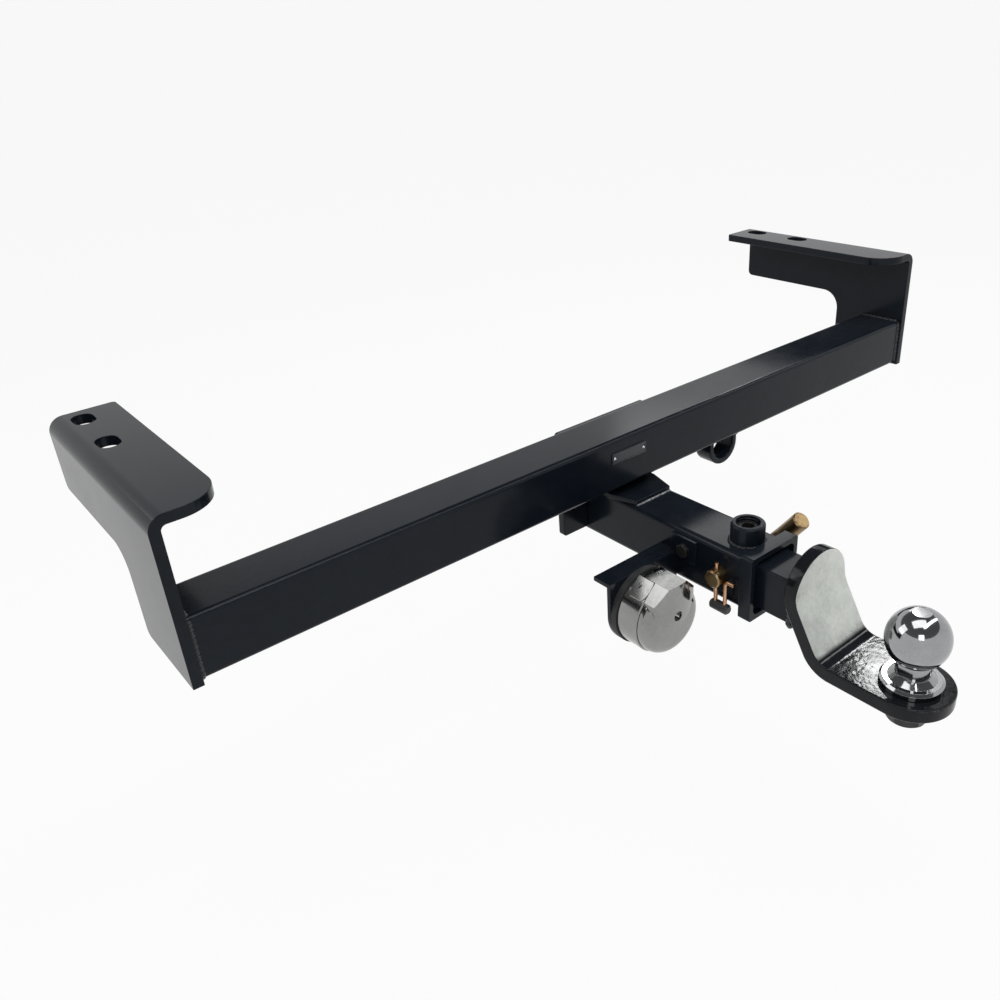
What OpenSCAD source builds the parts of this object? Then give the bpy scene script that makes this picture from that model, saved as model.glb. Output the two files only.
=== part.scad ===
// Receiver tow hitch with a removable ball mount.
// Lengths are millimetres. +X runs along the cross tube, +Y points to the vehicle, +Z is up.
// The origin is the middle of the four chassis slots, on the top face of the two flanges.
// Most sizes are set out from the cross tube: its front face is Y = 0 and its top is Z = 0 in
// the working frame that module on_hitch() moves to the origin.

/* [Cross tube] */
// Overall width, outer face of one bracket to outer face of the other
overall_w = 850; // [700:1:1100]
// Outside size of the square cross tube
tube_size = 50; // [44:1:60]
// Wall of the cross tube
tube_wall = 3; // [2:0.5:5]
// Outer corner radius of the cross tube
tube_corner_r = 4; // [3.5:0.5:8]

/* [Chassis brackets] */
// Thickness of the bent bracket plate
plate_t = 8; // [6:0.5:10]
// Height of the flange's top face over the cross tube's top face
flange_rise = 78; // [60:1:120]
// Width of the flange, from the bracket's outer face inwards
flange_w = 52; // [46:1:70]
// Outside radius of the bend between web and flange
bend_out_r = 12; // [11:0.5:16]
// How far the bracket stands in front of the cross tube
web_front = 3; // [2:0.5:8]
// How far the web's leg reaches behind the cross tube
leg_back = 34; // [20:1:60]
// How far the web reaches below the cross tube
web_drop = 2; // [1:0.5:10]
// Reach of the bracket's arm behind the cross tube's front face
arm_reach = 220; // [200:1:300]
// Height of the arm's lower edge over the cross tube's top face
arm_under = 19; // [10:1:30]
// Fillet between the arm and the leg
web_fillet_r = 20; // [8:1:30]
// Corner radius at the flange's inner front corner
flange_corner_r = 30; // [10:1:34]
// Small corner radius on the bracket's other corners
edge_corner_r = 6; // [2:0.5:8]

/* [Chassis slots] */
// Width of each slot
slot_w = 16; // [10:0.5:18]
// Length of each slot, end to end
slot_len = 24; // [20:0.5:30]
// Distance between the two slots of one flange
slot_pitch = 60; // [50:1:80]
// Distance of the slots' centre line from the bracket's outer face
slot_inset = 22; // [20:0.5:26]
// Distance of the rear slot's centre from the end of the arm
slot_end = 22; // [16:0.5:30]

/* [Receiver] */
// Outside size of the square receiver tube
receiver_size = 50; // [48:0.5:56]
// Wall of the receiver tube
receiver_wall = 4; // [3:0.5:4.5]
// Outer corner radius of the receiver tube
receiver_corner_r = 5; // [4.6:0.2:6]
// Depth of the receiver's axis below the cross tube's top face
receiver_drop = 90.5; // [86:0.5:110]
// Distance of the mouth in front of the cross tube
mouth_y = 151; // [146:1:180]
// How far the receiver reaches behind the cross tube's front face
receiver_back = 72; // [62:1:90]
// How far the receiver tube sits back inside its collar
mouth_recess = 4; // [2:0.5:6]
// Wall of the collar round the mouth
collar_wall = 5; // [4:0.5:7]
// Length of the collar
collar_len = 12; // [10:0.5:14]

/* [Arm plates] */
// Thickness of the saddle plate on the back of the cross tube
saddle_t = 8; // [6:0.5:10]
// Width of the saddle plate
saddle_w = 112; // [90:1:140]
// Depth of the saddle plate's lower edge below the cross tube's top face
saddle_bottom = 110; // [100:1:114]
// Gap between the saddle's notch and the receiver tube
saddle_gap = 0.5; // [0.3:0.1:1]
// Thickness of the doubler plate on top of the receiver
doubler_t = 5; // [3:0.5:8]
// Width of the doubler at its front end
doubler_front_w = 42; // [36:1:46]
// Width of the doubler under the cross tube
doubler_back_w = 58; // [50:1:70]
// How far the doubler reaches in front of the cross tube
doubler_front = 14; // [6:1:24]

/* [Chain loop] */
// Distance of the loop's centre from the middle of the hitch
loop_x = 119; // [90:1:200]
// Outside radius of the loop
loop_r = 20; // [16:0.5:26]
// Thickness of the loop's bar
loop_bar = 6; // [4:0.5:7]
// Width of the loop's bar, along Y
loop_w = 20; // [14:1:30]
// Distance of the loop behind the tube's front face
loop_set_y = 5; // [3:0.5:10]
// Length of the loop's straight legs
loop_leg = 8; // [5:0.5:14]

/* [Nameplate] */
// Width of the blank nameplate
nameplate_w = 42; // [30:1:60]
// Height of the nameplate
nameplate_h = 11; // [8:0.5:16]
// Thickness of the nameplate
nameplate_t = 1; // [0.6:0.1:2]
// Distance of the nameplate's centre to the left of the middle
nameplate_x = 18; // [0:1:60]
// Depth of the nameplate's centre below the tube's top
nameplate_z = 18; // [12:0.5:30]
// Radius of a rivet head
rivet_r = 1.6; // [1.2:0.1:2.2]

/* [Clamp screw] */
// Distance of the clamp screw in front of the cross tube
clamp_y = 122; // [118:0.5:123]
// Outside radius of the threaded boss
boss_r = 14.5; // [13.5:0.5:15]
// Height of the threaded boss
boss_h = 18; // [16:0.5:24]
// Radius of the clamp screw
screw_r = 10; // [8:0.5:10.5]
// How far the screw's top lies below the boss's rim when it is tight
screw_recess = 4; // [2:0.5:6]
// Width across flats of the screw's hexagon socket
screw_hex = 10; // [8:0.5:12]
// Depth of the hexagon socket
screw_hex_deep = 8; // [6:0.5:9]
// Thickness of the thrust pad under the screw
pad_t = 3; // [2:0.2:4]
// Radius of the screw's nose, which turns in the pad
nose_r = 4; // [3:0.5:5]

/* [Hitch pin] */
// Distance of the pin in front of the cross tube
pin_y = 116; // [112:0.5:118]
// Radius of the hitch pin
pin_r = 8; // [6:0.5:8.5]
// How far the pin stands out of the receiver's left side
pin_left = 12.5; // [11:0.5:13]
// Distance of the handle from the receiver's right side
pin_right = 20; // [18:0.5:30]
// Length of the handle, from the pin's axis to its end
handle_len = 44; // [38:1:70]
// Angle of the handle over the level
handle_angle = 52; // [40:1:90]
// Radius of the pin's shoulder
shoulder_r = 11; // [10:0.5:14]
// Thickness of the pin's shoulder
shoulder_t = 4; // [3:0.5:6]
// Radius of the clip's wire
clip_r = 1.8; // [1.2:0.1:2]
// Distance of the clip from the receiver's side
clip_gap = 6; // [4.5:0.5:6.5]
// Length of the clip's straight leg above the pin's axis
clip_top = 14; // [11:0.5:20]
// Depth of the clip's grip below the pin's axis
clip_deep = 27; // [20:0.5:32]
// Radius of the clip's rubber grip
grip_r = 4.6; // [3.5:0.1:6]
// Length of the clip's rubber grip
grip_len = 19; // [18:0.5:24]

/* [Ball mount] */
// Gap between the shank and each inside wall of the receiver
shank_gap = 1; // [0.5:0.1:2]
// Wall of the shank
shank_wall = 6; // [4:0.5:8]
// How far the shank's end stands in front of the mouth
shank_out = 33; // [28:1:60]
// Length of the shank inside the receiver, from the mouth
shank_in = 91; // [60:1:120]
// Width of the ball mount's plate
tongue_w = 65; // [56:1:80]
// Thickness of the ball mount's plate
tongue_t = 12; // [10:0.5:16]
// Height of the plate's rounded top over the receiver's axis
tongue_top = 45.5; // [40:0.5:60]
// Height over the receiver's axis at which the plate starts to bend
tongue_bend_z = 18.5; // [10:0.5:24]
// Front radius of the upper bend
bend1_r = 30; // [16:1:40]
// Angle of the slope against the vertical
slope_angle = 30; // [20:1:40]
// Length of the straight slope
slope_len = 32; // [20:1:50]
// Front radius of the lower bend
bend2_r = 16; // [10:1:30]
// Length of the flat tongue, from the lower bend to the ball's axis
tongue_len = 50; // [40:1:80]

/* [Tow ball] */
// Radius of the tow ball
ball_r = 23.8; // [23:0.05:30.2]
// Height of the ball's centre over its flange's top face
ball_rise = 34.5; // [32:0.5:46]
// Radius of the ball's neck
neck_r = 13; // [11:0.5:15]
// Width over the neck's two flats
neck_flat = 23; // [20:0.5:30]
// Radius of the ball's flange
ball_flange_r = 23.5; // [22:0.5:28]
// Thickness of the ball's flange
ball_flange_t = 6; // [4:0.5:10]
// Radius of the ball's threaded stem
stem_r = 9.5; // [8:0.5:11]
// How far the stem stands out of the nut
stem_out = 3; // [2:0.5:10]
// Width across flats of the ball's nut
ball_nut_af = 30; // [26:0.5:34]
// Height of the ball's nut
ball_nut_h = 16; // [12:0.5:20]
// Thickness of the lock washer
washer_t = 3.5; // [2:0.5:5]
// Radius of the lock washer
washer_r = 16; // [14:0.5:18]

/* [Electric socket] */
// Distance of the socket's axis from the middle of the hitch
socket_x = 71; // [70.5:0.5:80]
// Depth of the socket's axis below the receiver's axis
socket_drop = 30.5; // [26:0.5:34]
// Radius of the socket's drum
drum_r = 33.5; // [33:0.5:34]
// Length of the drum
drum_len = 22; // [20:0.5:28]
// Radius of the plug's cavity
cavity_r = 24; // [20:0.5:24.5]
// Thickness of the drum's back wall
drum_back = 3; // [2:0.5:5]
// Thickness of the contact carrier
carrier_t = 7; // [5:0.5:9]
// Radius of the drum's cable hole
cable_hole_r = 15; // [10:0.5:17]
// Radius of the contacts' circle
contact_ring_r = 13; // [10:0.5:15]
// Radius of a contact pin
contact_r = 2; // [1.2:0.1:2.4]
// Number of contacts on the circle, beside the middle one
contact_count = 6; // [4:1:8]
// Radius of the lid
lid_r = 32; // [31:0.5:32.5]
// Depth of the lid, front to back
lid_len = 13; // [12:0.5:16]
// Radius of the lid's front edge
lid_edge_r = 10.5; // [3:0.5:11]
// Wall of the lid's skirt
lid_wall = 4; // [3:0.5:5]
// Thickness of the lid's rubber seal
seal_t = 3; // [2:0.5:4]
// Width of the lid's hinge arm
arm_w = 21; // [18:0.5:24]
// Width of each hinge cheek beside the arm
cheek_w = 13; // [10:0.5:14]
// Distance of the hinge pin behind the drum's front
hinge_set = 12; // [10:0.5:14]
// Radius of the hinge knuckle
knuckle_r = 5; // [4:0.5:5.5]
// Radius of the hinge pin
hinge_pin_r = 2; // [1.5:0.1:2.5]
// How far the lid's hood stands out in front of its face
hood_out = 3.2; // [1.5:0.1:4]
// Radius of the lid spring's wire
spring_wire_r = 0.5; // [0.3:0.1:0.6]
// Turns of the lid spring
spring_turns = 3; // [2:1:3]

/* [Socket bracket] */
// Thickness of the socket bracket
socket_plate_t = 4; // [3:0.5:5]
// Distance of the bracket's front face in front of the cross tube
socket_plate_y = 66; // [62:0.5:68]
// Width of the bracket's top flange
socket_flange_w = 20; // [14:0.5:26]
// Height of the bracket's top face over the socket's axis
socket_flange_z = 33; // [28:0.5:36]
// Radius of the bracket's round plate
socket_plate_r = 35; // [34.5:0.5:37]
// Thickness of the rubber gasket
gasket_t = 6; // [3:0.5:7]
// Length of the bracket's lug on the receiver
lug_len = 24; // [22:0.5:25]
// Height of the bracket's lug
lug_h = 22; // [18:0.5:26]
// Width across flats of the bracket bolt's head
bolt_af = 11; // [10:0.5:13]
// Radius of the bracket bolt
bolt_r = 3.5; // [3:0.25:4]
// Radius of the socket's screws
socket_screw_r = 2; // [1.5:0.1:2.2]
// Radius of the socket screws' circle
socket_screw_ring = 28.7; // [28.5:0.1:28.8]
// Number of socket screws
socket_screw_count = 3; // [3:1:4]
// Length of the rubber boot behind the bracket
boot_len = 14; // [10:0.5:24]
// Radius of the boot's cable hole
boot_hole_r = 5; // [3:0.5:6]

/* [Fits] */
// Radial clearance of parts that turn or slide in a bore
running_gap = 0.05; // [0.02:0.01:0.09]
// Clearance between moving faces
face_gap = 0.3; // [0.2:0.05:0.5]
// Radial clearance of the pin in the shank
shank_pin_gap = 0.5; // [0.3:0.1:1]
// Radial clearance of the ball's stem in the tongue
stem_gap = 0.4; // [0.2:0.1:1]
// Leg length of a weld bead
weld = 5; // [3:0.5:6]

/* [Hidden] */
$fn = 64;

half_w = overall_w / 2;
tube_len = overall_w - 2 * plate_t;
slot_mid_y = arm_reach - slot_end - slot_pitch / 2;
eps = 1;

// Levels of the receiver and its collar, from the receiver's axis
receiver_half = receiver_size / 2;
receiver_top = -receiver_drop + receiver_half;
collar_size = receiver_size + 2 * collar_wall;
shank_size = receiver_size - 2 * (receiver_wall + shank_gap);
shank_half = shank_size / 2;
shank_top = -receiver_drop + shank_half;
shank_end_y = -(mouth_y + shank_out);

// Ball mount's plate: front face, and the places where its bends start and end
front_y = shank_end_y - tongue_t;
bend1_z = -receiver_drop + tongue_bend_z;
flat_turn = 90 - slope_angle;
bend1_end = [front_y - bend1_r * (1 - cos(slope_angle)), bend1_z - bend1_r * sin(slope_angle)];
slope_end = bend1_end - slope_len * [sin(slope_angle), cos(slope_angle)];
flat_start = slope_end - bend2_r * [sin(flat_turn), 1 - cos(flat_turn)];
tongue_z = flat_start[1];
ball_y = flat_start[0] - tongue_len;
tongue_under = tongue_z - tongue_t;
round_top_z = -receiver_drop + tongue_top - tongue_w / 2;
bend_lap = 0.01;

// Clamp screw: the pad rests on the shank, and the screw's foot on the pad
pad_r = screw_r - 1;
screw_foot_z = shank_top + pad_t;
boss_top_z = receiver_top + boss_h;
screw_top_z = boss_top_z - screw_recess;
nose_len = pad_t / 2;
nose_gap = 0.2;
boss_chamfer = 1.5;

// Hitch pin and clip
pin_left_x = -(receiver_half + pin_left);
pin_right_x = receiver_half + pin_right;
clip_x = -(receiver_half + clip_gap);
clip_out_y = pin_r + clip_r + face_gap;
clip_tip = 9;
clip_elbow_r = 3.5;
clip_tip_z = -4;
clip_seat = 5;
pin_chamfer = 1.2;
handle_bend_r = pin_right - face_gap - shoulder_t / 2;

// Electric socket, in front of its bracket
gasket_y = -socket_plate_y;
drum_y = gasket_y - gasket_t;
drum_front_y = drum_y - drum_len;
carrier_y = drum_y - drum_back;
socket_z = -receiver_drop - socket_drop;
hinge_y = drum_front_y + hinge_set;
hinge_up = lid_r + 0.5;
hinge_z = socket_z + hinge_up;
hood_top = hinge_up + knuckle_r;
arm_half = arm_w / 2;
hood_half = arm_half + face_gap + cheek_w;
hood_foot = hood_top - cheek_w - 4;
lid_back_y = drum_front_y - face_gap;
spring_x = 2;
spring_r = hinge_pin_r + spring_wire_r + 0.6;
spring_end_gap = 0.4;
spring_room = arm_half - spring_x;
spring_pitch = (spring_room - 2 * spring_end_gap - 2 * spring_wire_r) / spring_turns;
screw_head_r = socket_screw_r + 1.5;
screw_head_t = 3.5;
socket_nut_t = 3.5;
socket_nut_af = 7;
socket_screw_turn = 90;
boot_r = cable_hole_r + 3;
bolt_y = -(socket_plate_y + lug_len / 2);
bolt_z = -receiver_drop + 9.5;
bolt_head_t = 4.5;

// Moves a shape from the cross tube's frame to the hitch's origin
module on_hitch() {
    translate([0, -slot_mid_y, -flange_rise]) children();
}

// Turns a flat outline, drawn as (Y, Z), into a plate along +X
module along_x(length) {
    rotate([90, 0, 90]) linear_extrude(length) children();
}

// Turns a flat outline, drawn as (X, Z), into a bar from Y = 0 towards -Y
module along_minus_y(length) {
    rotate([90, 0, 0]) linear_extrude(length) children();
}

// Rectangle with rounded corners, centred
module rounded_rect(w, h, r) {
    square([w - 2 * r, h], center = true);
    square([w, h - 2 * r], center = true);
    for (x = [-1, 1], y = [-1, 1])
        translate([x * (w / 2 - r), y * (h / 2 - r)]) circle(r);
}

// Turned part: outline drawn as (radius, height)
module turned(outline) {
    rotate_extrude() polygon(concat([[0, outline[0][1]]], outline,
        [[0, outline[len(outline) - 1][1]]]));
}

// Section of a square tube
module tube_section(size, wall, corner_r) {
    difference() {
        rounded_rect(size, size, corner_r);
        rounded_rect(size - 2 * wall, size - 2 * wall, max(corner_r - wall, 0.5));
    }
}

// What a rounded corner takes away, with the corner at the origin and the plate in -X, -Y
module corner_waste(r) {
    difference() {
        translate([-r, -r]) square(r + eps);
        translate([-r, -r]) circle(r);
    }
}

// Quarter of a ring, in +X, +Y
module quarter_ring(outer_r, inner_r) {
    intersection() {
        difference() {
            circle(outer_r);
            circle(inner_r);
        }
        square(outer_r);
    }
}

module cross_tube() {
    color([0.09, 0.1, 0.12]) on_hitch()
        translate([-tube_len / 2, tube_size / 2, -tube_size / 2])
            along_x(tube_len) tube_section(tube_size, tube_wall, tube_corner_r);
}

// Side view of the bracket's web, drawn as (Y, Z)
module web_outline() {
    leg_y = tube_size + leg_back;
    top = flange_rise - bend_out_r;
    bottom = -(tube_size + web_drop);
    difference() {
        union() {
            translate([-web_front, bottom]) square([leg_y + web_front, top - bottom]);
            translate([leg_y - eps, arm_under]) square([arm_reach - leg_y + eps, top - arm_under]);
            difference() {
                translate([leg_y - eps, arm_under - web_fillet_r])
                    square([web_fillet_r + eps, web_fillet_r + eps]);
                translate([leg_y + web_fillet_r, arm_under - web_fillet_r]) circle(web_fillet_r);
            }
        }
        translate([arm_reach, arm_under]) mirror([0, 1]) corner_waste(edge_corner_r);
        translate([leg_y, bottom]) mirror([0, 1]) corner_waste(edge_corner_r);
    }
}

// Plan of the bracket's flange, drawn as (X, Y) with the bracket's outer face at X = 0
module flange_outline() {
    difference() {
        translate([-flange_w, -web_front])
            square([flange_w - bend_out_r, arm_reach + web_front]);
        translate([-flange_w, -web_front]) rotate(180) corner_waste(flange_corner_r);
        translate([-flange_w, arm_reach]) mirror([1, 0]) corner_waste(edge_corner_r / 2);
    }
}

// Slot through the flange, along Y
module chassis_slot() {
    reach = (slot_len - slot_w) / 2;
    for (y = [-reach, reach])
        translate([0, y, -plate_t - eps]) cylinder(r = slot_w / 2, h = plate_t + 2 * eps);
    translate([-slot_w / 2, -reach, -plate_t - eps])
        cube([slot_w, 2 * reach, plate_t + 2 * eps]);
}

// Bracket of the +X side: web on the outside, flange folded inwards on top
module bracket() {
    difference() {
        union() {
            translate([half_w - plate_t, 0, 0]) along_x(plate_t) web_outline();
            translate([half_w, 0, flange_rise - plate_t])
                linear_extrude(plate_t) flange_outline();
            translate([half_w - bend_out_r, arm_reach, flange_rise - bend_out_r])
                along_minus_y(arm_reach + web_front)
                    quarter_ring(bend_out_r, bend_out_r - plate_t);
        }
        for (n = [0, 1])
            translate([half_w - slot_inset, arm_reach - slot_end - n * slot_pitch, flange_rise])
                chassis_slot();
    }
}

module right_bracket() {
    color([0.1, 0.11, 0.13]) on_hitch() bracket();
}

module left_bracket() {
    color([0.3, 0.31, 0.33]) on_hitch() mirror([1, 0, 0]) bracket();
}

// Plate behind the cross tube that straddles the receiver
module saddle_plate() {
    notch = receiver_size + 2 * saddle_gap;
    height = saddle_bottom - tube_corner_r;
    notch_top = receiver_top + saddle_gap;
    color([0.12, 0.12, 0.13]) on_hitch() translate([0, tube_size + saddle_t, 0])
        along_minus_y(saddle_t) difference() {
            translate([0, -tube_corner_r - height / 2]) rounded_rect(saddle_w, height, 3);
            translate([-notch / 2, -saddle_bottom - eps])
                square([notch, saddle_bottom + notch_top + eps]);
        }
}

// Plate welded on top of the receiver, wider under the cross tube
module doubler_plate() {
    back_y = tube_size;
    wide_y = 14;
    color([0.08, 0.1, 0.11]) on_hitch() translate([0, 0, receiver_top])
        linear_extrude(doubler_t) polygon([
            [-doubler_front_w / 2, -doubler_front], [doubler_front_w / 2, -doubler_front],
            [doubler_back_w / 2, wide_y], [doubler_back_w / 2, back_y],
            [-doubler_back_w / 2, back_y], [-doubler_back_w / 2, wide_y]]);
}

module receiver_tube() {
    front_y_pos = -(mouth_y - mouth_recess);
    color([0.16, 0.16, 0.18]) on_hitch() difference() {
        translate([0, receiver_back, -receiver_drop])
            along_minus_y(receiver_back - front_y_pos)
                tube_section(receiver_size, receiver_wall, receiver_corner_r);
        translate([-receiver_size, -pin_y, -receiver_drop]) rotate([0, 90, 0])
            cylinder(r = pin_r + running_gap, h = 2 * receiver_size);
        translate([0, -clamp_y, -receiver_drop])
            cylinder(r = screw_r + running_gap, h = receiver_size);
        translate([-receiver_size, bolt_y, bolt_z]) rotate([0, 90, 0])
            cylinder(r = bolt_r, h = receiver_size);
    }
}

module receiver_collar() {
    color([0.16, 0.16, 0.18]) on_hitch() translate([0, collar_len - mouth_y, -receiver_drop])
        along_minus_y(collar_len) difference() {
            rounded_rect(collar_size, collar_size, collar_wall / 2);
            rounded_rect(receiver_size, receiver_size, receiver_corner_r);
        }
}

// Weld bead of three-cornered section along +Y, with its corner at the origin
module bead(length, leg) {
    rotate([90, 0, 0]) translate([0, 0, -length]) linear_extrude(length)
        polygon([[0, 0], [-leg, 0], [0, leg]]);
}

// Ring of weld round a square bar that meets a plate: the plate is at Y = 0, the bar in +Y
module square_weld(size, leg) {
    half = size / 2;
    for (turn = [0, 90, 180, 270]) rotate([0, turn, 0])
        translate([-half, 0, half]) rotate([0, 90, 0]) linear_extrude(size)
            polygon([[0, 0], [-leg, 0], [0, leg]]);
}

module weld_beads() {
    color([0.2, 0.2, 0.22]) on_hitch() {
        for (side = [-1, 1]) {
            translate([side * (half_w - plate_t), 0, 0]) mirror([side < 0 ? 1 : 0, 0, 0])
                translate([0, tube_corner_r, 0]) bead(tube_size - 2 * tube_corner_r, weld);
            translate([side * (half_w - plate_t), tube_size, -tube_corner_r])
                mirror([side < 0 ? 1 : 0, 0, 0]) rotate([-90, 0, 0])
                    bead(tube_size - 2 * tube_corner_r, weld);
        }
        translate([0, -clamp_y, receiver_top]) rotate_extrude()
            polygon([[boss_r, 0], [boss_r + 2.5, 0], [boss_r, 2.5]]);
        translate([0, shank_end_y, -receiver_drop]) square_weld(shank_size, weld);
    }
}

module nameplate() {
    color([0.13, 0.13, 0.14]) on_hitch() translate([-nameplate_x, 0, -nameplate_z])
        along_minus_y(nameplate_t) rounded_rect(nameplate_w, nameplate_h, 1.5);
}

module nameplate_rivets() {
    reach = nameplate_w / 2 - 2 * rivet_r;
    color([0.7, 0.7, 0.7]) on_hitch() for (x = [-reach, reach])
        translate([x - nameplate_x, -nameplate_t, -nameplate_z]) rotate([90, 0, 0])
            intersection() {
                translate([0, 0, -rivet_r / 2]) sphere(rivet_r);
                cylinder(r = 2 * rivet_r, h = rivet_r);
            }
}

// Bar bent to a U under the cross tube, for the safety chain's hook
module chain_loop() {
    inner_r = loop_r - loop_bar;
    color([0.14, 0.15, 0.16]) on_hitch()
        translate([loop_x, loop_set_y + loop_w, -tube_size]) along_minus_y(loop_w)
            difference() {
                union() {
                    translate([0, -loop_leg]) circle(loop_r);
                    translate([-loop_r, -loop_leg]) square([2 * loop_r, loop_leg]);
                }
                translate([0, -loop_leg]) circle(inner_r);
                translate([-inner_r, -loop_leg]) square([2 * inner_r, loop_leg + loop_r + eps]);
                translate([-2 * loop_r, 0]) square([4 * loop_r, 2 * loop_r]);
            }
}

module clamp_boss() {
    color([0.12, 0.13, 0.15]) on_hitch() translate([0, -clamp_y, receiver_top])
        difference() {
            turned([[boss_r, 0], [boss_r, boss_h - boss_chamfer], [boss_r - boss_chamfer, boss_h]]);
            translate([0, 0, -eps]) cylinder(r = screw_r + running_gap, h = boss_h + 2 * eps);
        }
}

// Thrust pad between the clamp screw and the shank
module clamp_pad() {
    color([0.75, 0.6, 0.3]) on_hitch() translate([0, -clamp_y, shank_top]) difference() {
        cylinder(r = pad_r, h = pad_t);
        translate([0, 0, pad_t - nose_len - nose_gap])
            cylinder(r = nose_r + running_gap, h = nose_len + nose_gap + eps);
    }
}

module clamp_screw() {
    length = screw_top_z - screw_foot_z;
    color([0.1, 0.1, 0.11]) on_hitch() translate([0, -clamp_y, screw_foot_z]) difference() {
        turned([[nose_r, -nose_len], [nose_r, 0], [screw_r, 0], [screw_r, length - 1],
            [screw_r - 1, length]]);
        translate([0, 0, length - screw_hex_deep])
            cylinder(r = screw_hex / sqrt(3), h = screw_hex_deep + eps, $fn = 6);
    }
}

// Pin with its handle bent up and forward, a shoulder, and a cross hole for the clip
module hitch_pin() {
    bend_x = pin_right_x - handle_bend_r - pin_left_x;
    shoulder_x = bend_x - shoulder_t / 2;
    handle_straight = handle_len - handle_bend_r;
    color([0.75, 0.58, 0.25]) on_hitch()
        translate([pin_left_x, -pin_y, -receiver_drop]) difference() {
            rotate([0, 90, 0]) union() {
                turned([[pin_r - pin_chamfer, 0], [pin_r, pin_chamfer], [pin_r, shoulder_x],
                    [shoulder_r, shoulder_x], [shoulder_r, shoulder_x + shoulder_t]]);
                rotate(90 - handle_angle) translate([-handle_bend_r, 0, bend_x])
                    rotate([90, 0, 0]) {
                        rotate_extrude(angle = 90) translate([handle_bend_r, 0]) circle(pin_r);
                        translate([0, handle_bend_r, 0]) rotate([0, -90, 0])
                            turned([[pin_r, 0], [pin_r, handle_straight - pin_chamfer],
                                [pin_r - pin_chamfer, handle_straight]]);
                    }
            }
            translate([clip_x - pin_left_x, 0, -2 * pin_r])
                cylinder(r = clip_r + running_gap, h = 4 * pin_r);
        }
}

// Wire clip: one leg through the pin, one springing past it with its tip turned out
module clip_wire(r) {
    foot_z = -clip_deep + clip_seat;
    bend_r = clip_out_y / 2;
    translate([0, 0, foot_z]) cylinder(r = r, h = clip_top - foot_z);
    translate([0, -clip_out_y, foot_z]) cylinder(r = r, h = clip_tip_z - foot_z);
    translate([0, -bend_r, foot_z]) rotate([-90, 0, 90])
        rotate_extrude(angle = 180) translate([bend_r, 0]) circle(r);
    translate([0, -clip_out_y - clip_elbow_r, clip_tip_z]) rotate([90, 0, 90])
        rotate_extrude(angle = 90) translate([clip_elbow_r, 0]) circle(r);
    translate([0, -clip_out_y - clip_elbow_r, clip_tip_z + clip_elbow_r])
        rotate([90, 0, 0]) cylinder(r = r, h = clip_tip - clip_elbow_r);
}

module pin_clip() {
    color([0.72, 0.55, 0.4]) on_hitch()
        translate([clip_x, -pin_y, -receiver_drop]) clip_wire(clip_r);
}

module clip_grip() {
    taper = grip_r / 3;
    color([0.12, 0.12, 0.13]) on_hitch() translate([clip_x, -pin_y, -receiver_drop])
        difference() {
            translate([0, (grip_len - clip_out_y) / 2, -clip_deep]) rotate([90, 0, 0])
                turned([[grip_r - taper, 0], [grip_r, taper], [grip_r, grip_len - taper],
                    [grip_r - taper, grip_len]]);
            clip_wire(clip_r);
        }
}

module shank() {
    length = shank_in + shank_out;
    color([0.14, 0.15, 0.17]) on_hitch() difference() {
        translate([0, shank_in - mouth_y, -receiver_drop]) along_minus_y(length)
            tube_section(shank_size, shank_wall, 2);
        translate([-shank_size, -pin_y, -receiver_drop]) rotate([0, 90, 0])
            cylinder(r = pin_r + shank_pin_gap, h = 2 * shank_size);
    }
}

// What a bend takes off the sharp outer corner of a strip, between two tangent points
module bend_waste(centre, r, from, corner, to) {
    difference() {
        polygon([centre, from, corner, to]);
        translate(centre) circle(r + bend_lap);
    }
}

// Side view of the ball mount's plate, drawn as (Y, Z): it hangs down, slopes out, runs flat
module tongue_profile() {
    top_z = -receiver_drop + tongue_top;
    end_y = ball_y - tongue_w;
    thick = [tongue_t, 0];
    slope_thick = tongue_t * [cos(slope_angle), -sin(slope_angle)];
    bend1_start = [front_y, bend1_z];
    centre1 = bend1_start - [bend1_r, 0];
    centre2 = flat_start + [0, bend2_r];
    outer1_r = bend1_r + tongue_t;
    outer2_r = bend2_r + tongue_t;
    back1 = bend1_start + thick - [0, outer1_r * tan(slope_angle / 2)];
    back2 = [flat_start[0] + outer2_r * tan(flat_turn / 2), tongue_under];
    difference() {
        polygon([[front_y, top_z], bend1_start, bend1_end, slope_end, flat_start,
            [end_y, tongue_z], [end_y, tongue_under], back2, back1, [front_y + tongue_t, top_z]]);
        translate(centre1) circle(bend1_r + bend_lap);
        translate(centre2) circle(bend2_r + bend_lap);
        bend_waste(centre1, outer1_r, bend1_start + thick,
            back1 + thick, bend1_end + slope_thick);
        bend_waste(centre2, outer2_r, slope_end + slope_thick,
            back2 + slope_thick, flat_start - [0, tongue_t]);
    }
}

module tongue_plate() {
    half = tongue_w / 2;
    far = 400;
    color([0.72, 0.73, 0.72]) on_hitch() difference() {
        translate([-half, 0, 0]) along_x(tongue_w) tongue_profile();
        translate([0, ball_y, 0]) difference() {
            translate([-far / 2, -far, -far]) cube([far, far, 2 * far]);
            translate([0, 0, -far]) cylinder(r = half, h = 2 * far);
        }
        translate([0, 0, round_top_z]) difference() {
            translate([-far / 2, -far, 0]) cube([far, 2 * far, far]);
            translate([0, far, 0]) rotate([90, 0, 0]) cylinder(r = half, h = 2 * far);
        }
        translate([0, ball_y, tongue_under - eps])
            cylinder(r = stem_r + stem_gap, h = tongue_t + 2 * eps);
    }
}

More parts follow.
